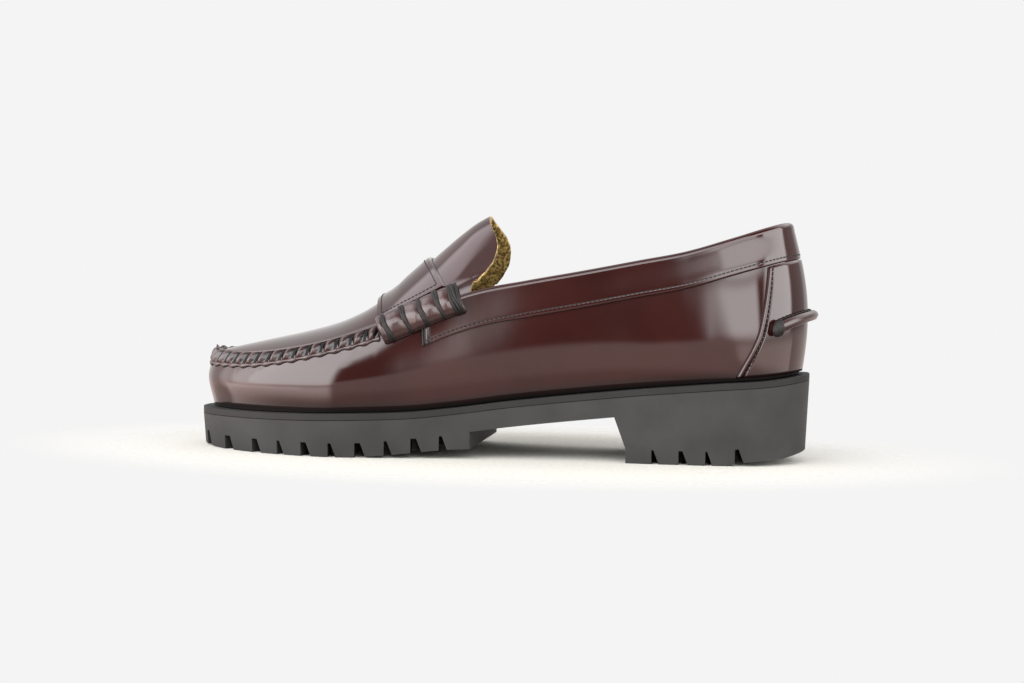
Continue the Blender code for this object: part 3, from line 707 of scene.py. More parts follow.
def add_noise(tree, place, scale, detail, stretch=(1.0, 1.0, 1.0)):
    """Noise over a place: scale is in spots a metre."""
    mapping = add_node(tree, "Mapping", {"Vector": place, "Scale": stretch})
    inputs = {"Vector": mapping.outputs["Vector"], "Scale": scale, "Detail": detail}
    return add_node(tree, "TexNoise", inputs).outputs[0]


def add_ramp(tree, source, stops):
    """Colours for a source's values: stops are place and colour."""
    ramp = add_node(tree, "ValToRGB", {"Fac": source})
    elements = ramp.color_ramp.elements
    for k, (place, colour) in ((0, stops[0]), (1, stops[-1])):
        elements[k].position = place
        elements[k].color = (*colour, 1.0)
    for place, colour in stops[1:-1]:
        elements.new(place).color = (*colour, 1.0)
    return ramp.outputs["Color"]


def add_bump(tree, source, distance, strength, below=None):
    """Bump from a source, over another bump if one is given."""
    bump = add_node(tree, "Bump", {"Height": source, "Distance": distance, "Strength": strength})
    if below is not None:
        feed(tree, bump, {"Normal": below})
    return bump.outputs["Normal"]


# %% Leather
SHADE_AND_DYE_COLOUR = (0.0030, 0.0022, 0.0020, 1.0)    # painted shade in the pleats' gaps and by the sole, where the edge's dye is too


def gloss_leather(name, deep, bright, roughness, coat_roughness):
    """Glossy leather: uneven dye, painted shade where a piece marks it, faint grain and a clear coat."""
    finish, tree, shader, place = new_finish(name)
    dye = add_ramp(tree, add_noise(tree, place, 30.0, 3.0), [(0.30, deep), (0.72, bright)])
    # Pieces mark painted shade where they meet the sole and in the pleats' gaps. By the sole it also
    # stands for the edge's dye.
    shade_and_dye_marks = add_node(tree, "Attribute", {})
    shade_and_dye_marks.attribute_name = "dye_and_painted_shade"
    dye_with_painted_shade = add_node(tree, "MixRGB", {"Fac": shade_and_dye_marks.outputs["Fac"], "Color1": dye, "Color2": SHADE_AND_DYE_COLOUR})
    wear = add_noise(tree, place, 500.0, 2.0)
    worn = add_ramp(tree, wear, [(0.35, (roughness * 0.85,) * 3), (0.65, (roughness * 1.15,) * 3)])
    brush = add_noise(tree, place, 170.0, 2.0, (1.0, 1.0, 0.30))
    broad = add_bump(tree, brush, 0.0003, 0.030)
    pores = add_noise(tree, place, 2400.0, 1.0)
    fine = add_bump(tree, pores, 0.0001, 0.018, broad)
    feed(tree, shader, {
        "Base Color": dye_with_painted_shade.outputs["Color"], "Roughness": worn, "Normal": fine, "Coat Normal": fine,
        "IOR": 1.45, "Specular IOR Level": 0.0, "Coat Weight": 1.0, "Coat Roughness": coat_roughness,
        "Coat IOR": 1.60})
    return finish


def darken(obj, shares):
    """Mark how far each point of a piece is painted darker, for shade and for edge dye."""
    shade_and_dye_marks = obj.data.attributes.new("dye_and_painted_shade", "FLOAT", "POINT")
    shade_and_dye_marks.data.foreach_set("value", capped(shares))


def dye_and_painted_shade(obj, reach):
    """Darken the leather close to the sole: painted shade where it meets the sole, and its dyed edge."""
    points = np.array([vertex.co for vertex in obj.data.vertices]) - SHIFT
    above = points[:, 2] - rim_height(points[:, 0])
    darken(obj, 1.35 - above / reach)


def mottled_lining(name):
    """Uncoated lining: gold brown with dark flecks, and soft."""
    finish, tree, shader, place = new_finish(name)
    fleck = add_noise(tree, place, 900.0, 5.0, (1.0, 1.0, 0.6))
    gold = add_ramp(tree, fleck, [(0.36, (0.055, 0.032, 0.008)), (0.50, (0.230, 0.150, 0.040)),
                                  (0.62, (0.480, 0.350, 0.130))])
    nap = add_bump(tree, fleck, 0.0004, 0.30)
    feed(tree, shader, {"Base Color": gold, "Normal": nap, "Roughness": 0.62})
    return finish


# %% Rubber and cord
def matt_rubber(name, dark, light):
    """Moulded rubber: matt, with a fine grain and slight scuffs."""
    finish, tree, shader, place = new_finish(name)
    cloud = add_ramp(tree, add_noise(tree, place, 55.0, 5.0), [(0.30, dark), (0.70, light)])
    grain = add_bump(tree, add_noise(tree, place, 3200.0, 2.0), 0.0001, 0.35)
    feed(tree, shader, {"Base Color": cloud, "Normal": grain, "Roughness": 0.66,
                        "Specular IOR Level": 0.30})
    return finish


def waxed_cord(name):
    """Waxed cord: near black, with the twist of its strands."""
    finish, tree, shader, place = new_finish(name)
    strand = add_noise(tree, place, 1500.0, 2.0)
    shades = add_ramp(tree, strand, [(0.35, (0.0030, 0.0028, 0.0028)), (0.65, (0.0120, 0.0110, 0.0105))])
    twist = add_bump(tree, strand, 0.0003, 0.40)
    feed(tree, shader, {"Base Color": shades, "Normal": twist, "Roughness": 0.50,
                        "Specular IOR Level": 0.28})
    return finish


FINISHES["upper_leather"] = gloss_leather(
    "burgundy leather", (0.0150, 0.0036, 0.0031), (0.0235, 0.0060, 0.0051), 0.34, 0.10)
# The trims are the upper's leather with a lighter, greyer base colour: a painted sheen for the soft
# satin gloss of the creased trims.
FINISHES["trim_leather"] = gloss_leather(
    "dark burgundy leather", (0.0230, 0.0095, 0.0088), (0.0360, 0.0165, 0.0150), 0.34, 0.27)
FINISHES["lining_leather"] = mottled_lining("gold brown lining")
FINISHES["outsole_rubber"] = matt_rubber(
    "black lug rubber", (0.0152, 0.0157, 0.0150), (0.0248, 0.0256, 0.0245))
FINISHES["midsole_rubber"] = matt_rubber(
    "midsole rubber", (0.0050, 0.0050, 0.0047), (0.0085, 0.0084, 0.0080))
FINISHES["waxed_cord"] = waxed_cord("waxed black cord")
print("finishes:", sorted(FINISHES))

# %% [markdown]
# ## The lug sole
#
# A lug sole is one moulding: a thick slab with notches cut in from the side, a heel, and a
# thinner bridge under the arch. It could be modelled lug by lug, but a mould is milled by
# cutting, so we cut too: a slab with the sole's outline, less the arch, the hollow between
# the side lugs and a row of notches, plus cross shaped lugs down the middle. A small
# bevel on every sharp edge catches the light as moulded rubber does.

# %% Sole thicknesses and tread
MIDSOLE_THICKNESS = 0.0030
GLUE_JOINT = 0.00005        # hair of a joint between outsole and midsole
SHANK_THICKNESS = 0.0115    # midsole and outsole together, under the arch
SIDE_TAPER = 0.0012         # how far the sole's side leans in at the floor
LUG_HEIGHT = 0.0062
LUG_DEPTH = 0.0125          # how far the side notches reach in

# Tread above the floor: share of the length, share of the heel height
TREAD = [
    # along, height
    (0.000, 0.150),
    (0.011, 0.125),
    (0.036, 0.080),
    (0.097, 0.040),
    (0.137, 0.000),
    (0.300, 0.000),
    (0.532, 0.113),
    (0.565, 0.105),
    (0.604, 0.078),
    (0.651, 0.040),
    (0.694, 0.014),
    (0.722, 0.000),
    (0.942, 0.000),
    (1.000, 0.028),
]


def tread_height(x):
    """Height of the lugs' underside above the floor."""
    share = np.asarray(x, float) / SOLE_LENGTH
    return HEEL_HEIGHT * np.interp(share, column(TREAD, 0), column(TREAD, 1))


# %% Plates and cuts
CUT_CRUMB = 3e-5            # crumbs smaller than this, left by the cuts, are closed
FLAT_ANGLE = math.radians(0.4)      # faces that meet flatter than this are joined
SHARP_ANGLE = math.radians(32.0)    # edges that meet sharper than this are rounded
RUBBER_EDGE = 0.00030       # width of a rounded rubber edge


def slab(top, bottom, stations, top_inset, bottom_inset, span=(0.0, 1.0)):
    """Points and faces of a plate with the sole's outline between two height functions."""
    loops = []
    for inset, height in ((top_inset, top), (bottom_inset, bottom)):
        inner, outer = halves(sole_curve(inset))
        first = max(inner[0, 0], span[0] * SOLE_LENGTH)
        last = min(inner[-1, 0], span[1] * SOLE_LENGTH)
        x = first + (last - first) * ease(np.linspace(0.0, 1.0, stations + 1))
        z = height(x)
        for half in (inner, outer):
            loops.append(np.stack([x, on_curve(half, x, 1), z], 1))
    n = stations + 1
    faces = []
    for k in range(stations):
        faces.append((k, k + 1, n + k + 1, n + k))
        faces.append((2 * n + k, 3 * n + k, 3 * n + k + 1, 2 * n + k + 1))
        faces.append((k, 2 * n + k, 2 * n + k + 1, k + 1))
        faces.append((n + k, n + k + 1, 3 * n + k + 1, 3 * n + k))
    faces.append((0, n, 3 * n, 2 * n))
    faces.append((n - 1, 3 * n - 1, 4 * n - 1, 2 * n - 1))
    return np.vstack(loops), faces


def prism(outline, start, direction, length):
    """Points and faces of an outline carried along a direction."""
    outline = np.asarray(outline, float)
    direction = np.asarray(direction, float)
    verts = np.vstack([outline + direction * start, outline + direction * (start + length)])
    n = len(outline)
    faces = [list(range(n)), list(range(2 * n - 1, n - 1, -1))]
    for i in range(n):
        j = (i + 1) % n
        faces.append([i, i + n, j + n, j])
    return verts, faces


def carve(obj, cuts):
    """Cut away or join the helpers, and keep the cleaned result as the mesh."""
    for helper, operation in cuts:
        modifier = obj.modifiers.new(helper.name, "BOOLEAN")
        modifier.operation = operation
        modifier.object = helper
        modifier.solver = "EXACT"
    depsgraph = bpy.context.evaluated_depsgraph_get()
    carved = bpy.data.meshes.new_from_object(obj.evaluated_get(depsgraph))
    obj.modifiers.clear()
    obj.data = carved
    for helper, operation in cuts:
        bpy.data.objects.remove(helper, do_unlink=True)
    cleaned(carved, CUT_CRUMB, False, FLAT_ANGLE)


def soften(obj, width):
    """Round the sharp edges and shade the rest smooth."""
    bevel = obj.modifiers.new("soft edges", "BEVEL")
    bevel.width = width
    bevel.segments = 2
    bevel.limit_method = "ANGLE"
    bevel.angle_limit = SHARP_ANGLE
    obj.data.shade_smooth()
    obj.data.set_sharp_from_angle(angle=SHARP_ANGLE)


# %% Side notches
NOTCH_WIDE = 0.0049         # notch widths at the floor
NOTCH_SHUT = 0.0024         # how much narrower a notch is at its roof

# Notches of either side: share of the length at the rear edge, share of the wide notch
NOTCHES = [
    # along, width
    (0.096, 0.84),
    (0.146, 0.64),
    (0.185, 0.84),
    (0.231, 0.67),
    (0.566, 0.75),
    (0.606, 1.00),
    (0.652, 0.75),
    (0.694, 1.00),
    (0.741, 0.75),
    (0.783, 1.00),
    (0.830, 0.75),
    (0.872, 1.08),
    (0.926, 1.25),
    (0.975, 1.10),
]


def notch_cuts():
    """Points and faces of all side notches, as prisms that reach in from either edge."""
    edge = Ring(sole_curve(0.0))
    parts = []
    for along, width_share in NOTCHES:
        width = NOTCH_WIDE * width_share
        roof = max(width - NOTCH_SHUT, width * 0.25)
        for side in (1.0, -1.0):
            s = float(edge.loop_value(along * SOLE_LENGTH)) * side
            here = edge.at(s)
            ahead = edge.at(s + 0.004 * side) - edge.at(s - 0.004 * side)
            toe_ward = unit(np.array([ahead[0], ahead[1], 0.0]))
            inward = np.array([toe_ward[1], -toe_ward[0], 0.0]) * side
            base = np.array([here[0], here[1], float(tread_height(here[0] + width / 2))])
            slope = (width - roof) / LUG_HEIGHT
            below = 2.0 * LUG_HEIGHT
            profile = [(-slope * below, -below), (width - roof, LUG_HEIGHT),
                       (width, LUG_HEIGHT), (width, -below)]
            ring = [base + toe_ward * q + np.array([0.0, 0.0, z]) for q, z in profile]
            parts.append(prism(ring, -LUG_DEPTH / 2, inward, LUG_DEPTH * 1.5))
    return bundle(parts)


# %% Centre lugs
CENTRE_LUG = 0.0165         # length of a centre lug's arms
CENTRE_LUG_ARM = 0.0058     # width of its arms
CENTRE_LUG_PLACES = (0.178, 0.617, 0.694, 0.772, 0.849)     # shares of the length


def centre_lug_forms():
    """Points and faces of the cross shaped lugs down the middle."""
    sides = halves(sole_curve(0.0))
    half = CENTRE_LUG / 2
    arm = CENTRE_LUG_ARM / 2
    cross = [(arm, arm), (arm, half), (-arm, half), (-arm, arm), (-half, arm), (-half, -arm),
             (-arm, -arm), (-arm, -half), (arm, -half), (arm, -arm), (half, -arm), (half, arm)]
    parts = []
    for along in CENTRE_LUG_PLACES:
        x = along * SOLE_LENGTH
        y = sum(on_curve(side, x, 1) for side in sides) / 2
        ring = [(x + p, y + q, float(tread_height(x))) for p, q in cross]
        parts.append(prism(ring, 0.0, (0.0, 0.0, 1.0), LUG_HEIGHT + MIDSOLE_THICKNESS / 2))
    return bundle(parts)


# %% Outsole
FOREFOOT_END = 0.532        # share of the length where the forefoot lugs stop
BREAST_TOP = 0.303          # heel breast, at the shank and at the floor
BREAST_FOOT = 0.284

# Stretches that are hollow between the side lugs: from, to, stations
HOLLOWS = {"heel_hollow": (0.0, 0.232, 24), "fore_hollow": (0.572, 1.0, 40)}


def arch_cut():
    """Points and faces of the space under the arch."""
    front = FOREFOOT_END * SOLE_LENGTH
    rear = BREAST_TOP * SOLE_LENGTH
    foot = BREAST_FOOT * SOLE_LENGTH
    outline = [(front, 0.0, -HEEL_HEIGHT)]
    outline += [(x, 0.0, float(rim_height(x)) - SHANK_THICKNESS) for x in np.linspace(front, rear, 17)]
    outline += [(foot, 0.0, LUG_HEIGHT), (foot, 0.0, -HEEL_HEIGHT)]
    return prism(outline, -BALL_WIDTH, (0.0, 1.0, 0.0), 2.0 * BALL_WIDTH)


def from_rim(rise):
    """Height function that lies a fixed rise above the midsole's top."""
    return lambda x: rim_height(x) + rise


def hollow_roof(x):
    """Height of the roof between the side lugs."""
    return tread_height(x) + LUG_HEIGHT


def under_floor(x):
    """Height of a place well under the floor, for cuts."""
    return 0.0 * x - HEEL_HEIGHT / 4


outsole_top = from_rim(-MIDSOLE_THICKNESS - GLUE_JOINT)
outsole = add_piece("lug_outsole", *slab(outsole_top, tread_height, 120, 0.0, SIDE_TAPER),
                    "outsole_rubber", ["outsole"])
cuts = [(new_object("arch_cut", *arch_cut()), "DIFFERENCE")]
for name, (first, last, stations) in HOLLOWS.items():
    hollow = slab(hollow_roof, under_floor, stations, LUG_DEPTH, LUG_DEPTH, (first, last))
    cuts.append((new_object(name, *hollow), "DIFFERENCE"))
cuts.append((new_object("notch_cuts", *notch_cuts()), "DIFFERENCE"))
cuts.append((new_object("centre_lug_forms", *centre_lug_forms()), "UNION"))
carve(outsole, cuts)
soften(outsole, RUBBER_EDGE)
print("outsole carved:", len(outsole.data.polygons), "faces")

# %% [markdown]
# ## Midsole and insole
#
# Between the outsole and the upper lies a thin strip of firm rubber, whose rim shows all
# round the shoe as a narrow ledge. Inside the shoe lies the insole, covered in the same
# leather as the lining. Both are thin plates with the sole's outline.

# %% Midsole and insole
WALL = 0.0020               # leather and lining of the upper
INSOLE_THICKNESS = 0.0030
INSOLE_INSET = FEATHER_INSET + WALL + CLEARANCE

midsole_slab = slab(rim_height, from_rim(-MIDSOLE_THICKNESS), 160, 0.0, 0.0)
midsole = add_piece("midsole_strip", *midsole_slab, "midsole_rubber", ["midsole"])
soften(midsole, RUBBER_EDGE)
insole_slab = slab(from_rim(CLEARANCE + INSOLE_THICKNESS), from_rim(CLEARANCE), 110,
                   INSOLE_INSET, INSOLE_INSET)
insole = add_piece("insole_board", *insole_slab, "lining_leather", ["insole"])
soften(insole, 2.0 * RUBBER_EDGE)

# %% [markdown]
# ## The seam's count of pleats
#
# The wall is longer than the apron's edge round the toe, so it is gathered into small
# even pleats while it is sewn. We measure the seam from roll to roll and divide it into a
# whole number of pleats. Everything along the seam is then placed by pleat number.

# %% Seam measure
ROLL_SPAN = (0.550, 0.678)      # the rolls beside the strap, in shares of the length
PLEAT_PITCH = 0.0067

seam_from = float(EDGE_RING.loop_value(ROLL_SPAN[1] * SOLE_LENGTH))
seam_s = np.linspace(seam_from, 2.0 - seam_from, 1601)
seam_run = run_along(EDGE_RING.at(seam_s))
PLEATS = int(round(seam_run[-1] / PLEAT_PITCH))
PITCH = seam_run[-1] / PLEATS


def seam_value(pleat):
    """Loop value at a pleat number, counted from the inner roll."""
    return np.interp(np.asarray(pleat, float) * PITCH, seam_run, seam_s)


def pleat_number(s):
    """Pleat number at a loop value."""
    return np.interp(s, seam_s, seam_run) / PITCH


print("pleats:", PLEATS, "pitch in mm:", round(1000 * PITCH, 2))

# %% [markdown]
# ## The walls: vamp and quarters
#
# The walls are one skin round the foot, leather outside and lining inside. Real leather
# is never as fair as a curve: it puckers under each pleat and waves softly where the foot
# bends. Each wave is a row in a table, a soft hollow or swelling in the shoe's own sizes.

# %% Walls
PUCKER = 0.00024            # depth of the gathers under the pleats
PUCKER_FADE = 0.0034        # how far down they fade
SHADE_AND_DYE_REACH = 0.0042      # how far up from the sole the leather is darkened by painted shade and dye

# Soft forms in the walls: loop value, share up the wall, half sizes along and up in
# metres, lean, height out
WALL_FORMS = [
    # s, t, along, up, lean, out
    (1.345, 0.60, 0.018, 0.0070, 0.45, -0.00030),
    (1.410, 0.40, 0.022, 0.0070, 0.30, 0.00020),
    (1.690, 0.55, 0.030, 0.0110, -0.25, -0.00025),
]


def wall_relief(s, t):
    """How far the leather stands off its fair form."""
    relief = np.zeros(np.broadcast(s, t).shape)
    down = (1.0 - t) * wall_height(s)
    number = pleat_number(s)
    from_gap = np.abs(number - np.round(number)) * 2.0
    gathered = ((number > 0.3) & (number < PLEATS - 0.3)).astype(float)
    relief -= gathered * PUCKER * from_gap ** 7 * np.exp(-down / PUCKER_FADE)
    point = wall(s, t)
    for at_s, at_t, along, rise, lean, out in WALL_FORMS:
        centre = wall(at_s, at_t)
        dx = point[..., 0] - centre[0]
        dz = point[..., 2] - centre[2]
        same_side = np.sign(point[..., 1]) == np.sign(centre[1])
        q = ((dx - lean * dz) / along) ** 2 + (dz / rise) ** 2
        relief += same_side * out * np.exp(-q)
    return relief


s_grid, t_grid = np.meshgrid(np.linspace(0.0, 2.0, 600, endpoint=False),
                             ease(np.linspace(0.0, 1.0, 40)), indexing="ij")
wall_points = off_wall(s_grid, t_grid, wall_relief(s_grid, t_grid))
walls = add_piece("vamp_and_quarters", wall_points.reshape(-1, 3),
                  [face[::-1] for face in grid_faces(*s_grid.shape, closed_rows=True)],
                  "upper_leather", ["upper"], outward=False, more_slots=["lining_leather"])


def line_inside(obj, thickness):
    """Give a skin its thickness inward, with the lining on its inner face."""
    body = obj.modifiers.new("lining", "SOLIDIFY")
    body.thickness = thickness
    body.offset = -1.0
    body.use_even_offset = True
    body.material_offset = 1
    body.material_offset_rim = 1


line_inside(walls, WALL)
# Painted shade and edge dye at the foot of the walls, where they meet the sole
dye_and_painted_shade(walls, SHADE_AND_DYE_REACH)

# %% [markdown]
# ## Apron and tongue
#
# The plug of leather over the toes runs on under the strap and ends as a free tongue with
# a rounded, slightly flared end. It is one grid: its front rows share their stations with
# the seam, and the rows behind the throat draw in from the walls and reach back to the
# tongue's own edge line.

# %% Apron and tongue
THROAT = 0.538              # share of the length where the tongue leaves the walls
TONGUE_INSET = 0.10         # share of its half width that the tongue keeps off the walls
EDGE_CROWDING = 0.35        # how closely columns crowd towards the apron's edges

# Rear edge of the tongue: share of its half width, share of the length
TONGUE_EDGE = [
    # across, along
    (0.00, 0.526),
    (0.25, 0.522),
    (0.45, 0.513),
    (0.57, 0.506),
    (0.70, 0.502),
    (0.83, 0.506),
    (0.90, 0.515),
    (1.00, 0.529),
]

throat_s = float(EDGE_RING.loop_value(THROAT * SOLE_LENGTH))
even = np.linspace(-1.0, 1.0, 73)
across = np.sin(even * np.pi / 2) * EDGE_CROWDING + even * (1.0 - EDGE_CROWDING)
front_x = EDGE_RING.at(np.linspace(1.0, throat_s, 150))[:, 0]
x_grid, v_grid = np.meshgrid(front_x, across, indexing="ij")
apron_rows = apron(x_grid, v_grid)

tongue_share = np.linspace(0.0, 1.0, 25)[1:, None]
tongue_end = SOLE_LENGTH * read(TONGUE_EDGE, 1, np.abs(across))[None, :]
tongue_x = THROAT * SOLE_LENGTH + (tongue_end - THROAT * SOLE_LENGTH) * tongue_share
tongue_v = across[None, :] * (1.0 - TONGUE_INSET * np.minimum(1.0, 2.0 * tongue_share) ** 0.5)
tongue_rows = apron(tongue_x, tongue_v)

apron_points = np.concatenate([apron_rows, tongue_rows], axis=0)
apron_piece = add_piece("apron_and_tongue", apron_points.reshape(-1, 3),
                        [face[::-1] for face in grid_faces(*apron_points.shape[:2])],
                        "upper_leather", ["upper"], outward=False, more_slots=["lining_leather"])
line_inside(apron_piece, WALL)

# %% [markdown]
# ## Collar band
#
# A band of leather is folded over the raw edge of the collar and sewn down along its
# lower edge, outside and in. The fold makes a soft round bead on top. We draw its section
# as one line of points, up the outside, over the top and down the inside, and sweep it
# round the heel. Its lower edge is folded under, which shows as a thin raised cord of
# leather below the stitches.

# %% Collar band
BAND_HEIGHT = 0.0138
BAND_THICKNESS = 0.0014
BAND_FRONT = 0.611          # front end of the band, under the rolls
BAND_INSIDE = 0.0095        # how far it reaches down inside
BAND_TAPER = 0.0015         # loop values over which it thins out at its front ends

band_end = float(EDGE_RING.loop_value(BAND_FRONT * SOLE_LENGTH))
band_s = np.linspace(-band_end, band_end, 261)[:, None]
band_low = 1.0 - BAND_HEIGHT / wall_height(band_s)
band_edge = 0.30 + 0.70 * capped((band_end - np.abs(band_s)) / BAND_TAPER) ** 0.5

# Section of the band's outside leg: share up, share of its thickness
BAND_SECTION = [
    # up, thickness
    (0.000, 0.20),
    (0.008, 0.46),
    (0.030, 0.62),
    (0.080, 0.70),
    (0.120, 0.72),
    (0.137, 0.66),
    (0.155, 0.73),
    (0.220, 0.78),
    (0.600, 0.82),
    (0.850, 0.86),
    (1.000, 0.92),
]
leg_up = np.array([0.0, 0.008, 0.02, 0.04, 0.06, 0.08, 0.10, 0.12, 0.135, 0.15, 0.17, 0.2, 0.25,
                   0.32, 0.4, 0.5, 0.6, 0.7, 0.78, 0.85, 0.91, 0.96])[None, :]
leg_t = band_low + (1.0 - band_low) * leg_up
leg_thickness = BAND_THICKNESS * band_edge * read(BAND_SECTION, 1, leg_up)
leg_outer = off_wall(band_s, leg_t, CLEARANCE + leg_thickness)
leg_inner = off_wall(band_s, leg_t, CLEARANCE + 0.0 * leg_up)


def over_edge(s, turns, radius):
    """Points of a half circle over the collar's edge, from outside to inside."""
    out = wall_normal(s, np.full_like(s, 0.985))
    out[..., 2] *= 0.3
    out = unit(out)
    middle = wall(s, np.ones_like(s)) - out * WALL / 2
    lift = np.array([0.0, 0.0, 1.0])
    return middle + radius * (out * np.cos(turns)[..., None] + lift * np.sin(turns)[..., None])


s_top, turns = arrays(band_s, np.linspace(0.12, np.pi, 12)[None, :])
bead = WALL / 2 + CLEARANCE
top_outer = over_edge(s_top, turns, bead + BAND_THICKNESS * BAND_SECTION[-1][1])
top_inner = over_edge(s_top, turns, bead)
inside_down = np.linspace(0.12, 1.0, 9)[None, :] * BAND_INSIDE
inside_t = 1.0 - inside_down / wall_height(band_s)
inside_lift = -(WALL + CLEARANCE) + 0.0 * inside_t
inside_inner = off_wall(band_s, inside_t, inside_lift)
inside_outer = off_wall(band_s, inside_t, inside_lift - BAND_THICKNESS * 0.75)
band_outer = np.concatenate([leg_outer, top_outer, inside_outer], axis=1)
band_inner = np.concatenate([leg_inner, top_inner, inside_inner], axis=1)
add_piece("collar_fold", *skin(band_inner, band_outer), "upper_leather", ["collar_band"])

# %% [markdown]
# ## Heel counter
#
# Round the heel a second layer of leather stiffens the upper. Its front edge, which leans
# forward towards the sole, is folded under: a raised bead, then a groove with a row of
# stitches in it. The grid runs from edge to edge, and its columns crowd near both ends so
# that the bead gets enough points.

# %% Heel counter
COUNTER_THICKNESS = 0.0012
COUNTER_BEAD = 0.0007       # how far the folded edge stands up
COUNTER_BEAD_WIDTH = 0.0023
COUNTER_GROOVE = (0.00035, 0.0006)      # depth and half width of the groove behind the bead
COUNTER_ROUND = 0.0006      # how far in from its edge the counter is thinner
COUNTER_HALF_RUN = 0.034    # about half the way round the counter

# Front edge of the counter: share up the wall, share of the length
COUNTER_EDGE = [
    # up, along
    (0.00, 0.130),
    (0.15, 0.116),
    (0.25, 0.107),
    (0.40, 0.097),
    (0.60, 0.090),
    (1.00, 0.077),
]


def counter_place(across_share, up_share, lift):
    """Point on the counter: share across from edge to edge, share up, lift off the wall."""
    end = EDGE_RING.loop_value(SOLE_LENGTH * read(COUNTER_EDGE, 1, up_share))
    s = across_share * end
    foot = (2.0 * CLEARANCE + COUNTER_THICKNESS) / wall_height(s)
    top = 1.0 - (BAND_HEIGHT + 1.5 * CLEARANCE) / wall_height(s)
    return off_wall(s, foot + (top - foot) * up_share, lift)


counter_across = np.concatenate([np.linspace(-1.0, -0.86, 26)[:-1], np.linspace(-0.86, 0.86, 90),
                                 np.linspace(0.86, 1.0, 26)[1:]])[:, None]
counter_up = np.linspace(0.0, 1.0, 34)[None, :]
counter_across, counter_up = np.broadcast_arrays(counter_across, counter_up)
from_edge = (1.0 - np.abs(counter_across)) * COUNTER_HALF_RUN
fold = np.sin(np.pi * capped(from_edge / COUNTER_BEAD_WIDTH)) ** 0.7
groove_depth, groove_width = COUNTER_GROOVE
groove = np.exp(-((from_edge - COUNTER_BEAD_WIDTH * 1.15) / groove_width) ** 2)
thick = COUNTER_THICKNESS * np.clip(0.35 + from_edge / COUNTER_ROUND, 0.35, 1.0)
thick += COUNTER_BEAD * fold - groove_depth * groove
counter_outer = counter_place(counter_across, counter_up, CLEARANCE + thick)
counter_inner = counter_place(counter_across, counter_up, CLEARANCE + 0.0 * thick)
counter = add_piece("counter_cover", *skin(counter_inner, counter_outer), "upper_leather",
                    ["heel_counter"])
# The same painted shade and edge dye at the counter's foot
dye_and_painted_shade(counter, SHADE_AND_DYE_REACH)

# %% [markdown]
# ## Saddle strap
#
# The strap crosses the instep and gives the penny loafer its name: its middle has a slot
# shaped like an eye. Its front and rear edges curve, so the strap is narrowest over the
# ridge and widens down to the rolls. The eye is made by parting the grid along its middle
# row: the two lips meet at the ends of the slot and stand apart in the middle.

# %% Saddle strap
STRAP_THICKNESS = 0.0018
STRAP_BED = 0.00045
STRAP_SPAN = (0.620, 0.702)     # strap at the ridge, rear and front edge
STRAP_SIDE = (0.577, 0.686)     # strap at its ends
STRAP_END = 0.84                # share of the half width that the strap covers
SLOT_HALF = 0.27                # half length of the eye, as a share of the half width
SLOT_OPEN = 0.0042              # how far the eye opens
SLOT_AT = 0.57                  # its place between the rear and front edge
STRAP_HALF_WIDTH = 0.036        # about half the way over the instep
STRAP_ROUND = 0.0007            # how far in from an edge the strap is rounded
SLOT_FADE = 0.0008              # how soon that rounding fades towards the eye's ends


def strap_x(v, share):
    """Place along the shoe for a share between the strap's rear and front edge."""
    outward = np.abs(v / STRAP_END) ** 1.6
    rear = STRAP_SPAN[0] + (STRAP_SIDE[0] - STRAP_SPAN[0]) * outward
    fore = STRAP_SPAN[1] + (STRAP_SIDE[1] - STRAP_SPAN[1]) * outward
    return SOLE_LENGTH * (rear + (fore - rear) * share)


def quarter_round(share):
    """Height of a quarter circle, from 0 at its edge to 1 from a share of 1 on."""
    full = capped(share)
    return np.sqrt(full * (2.0 - full))


def slot_half_width(v):
    """Half the opening of the eye at a share across."""
    return SLOT_OPEN / 2 * capped(1.0 - (v / SLOT_HALF) ** 2)


def strap_half(first, last, lip_sign):
    """Skin of the part of the strap between two shares; lip_sign says where the eye lies."""
    v = np.linspace(-STRAP_END, STRAP_END, 121)[None, :]
    k = np.linspace(0.0, 1.0, 22)[:, None]
    share = first + (last - first) * k
    towards_eye = k if lip_sign > 0 else 1.0 - k
    x = strap_x(v, share) - lip_sign * slot_half_width(v) * towards_eye
    run = np.minimum(strap_x(v, 1.0) - x, x - strap_x(v, 0.0))
    ends = (STRAP_END - np.abs(v)) * STRAP_HALF_WIDTH
    slot_edge = np.abs(x - strap_x(v, SLOT_AT)) - slot_half_width(v)
    slot_edge = slot_edge + SLOT_FADE * np.abs(v / SLOT_HALF) ** 4
    slot_edge = np.where(np.abs(v) < SLOT_HALF, slot_edge, 1.0)
    nearest = np.minimum(np.minimum(run, ends), slot_edge)
    height = STRAP_BED + STRAP_THICKNESS * (0.45 + 0.55 * quarter_round(nearest / STRAP_ROUND))
    return skin(off_apron(x, v, STRAP_BED + 0.0 * height), off_apron(x, v, height))


strap_verts, strap_faces = bundle([strap_half(0.0, SLOT_AT, 1.0), strap_half(SLOT_AT, 1.0, -1.0)])
strap = add_piece("saddle_strap", strap_verts, strap_faces, "upper_leather", ["strap"])
strap.data.set_sharp_from_angle(angle=math.radians(40.0))

# %% [markdown]
# ## Rolls beside the strap
#
# At either end of the strap the leather is rolled and lashed to the seam with waxed cord,
# which gives this kind of loafer its look. The cord bites in, so the leather swells
# between the lashings. The roll is a bulge draped over the seam, whose height dips at
# every lashing, and each lashing is two or three cords laid over that same bulge.

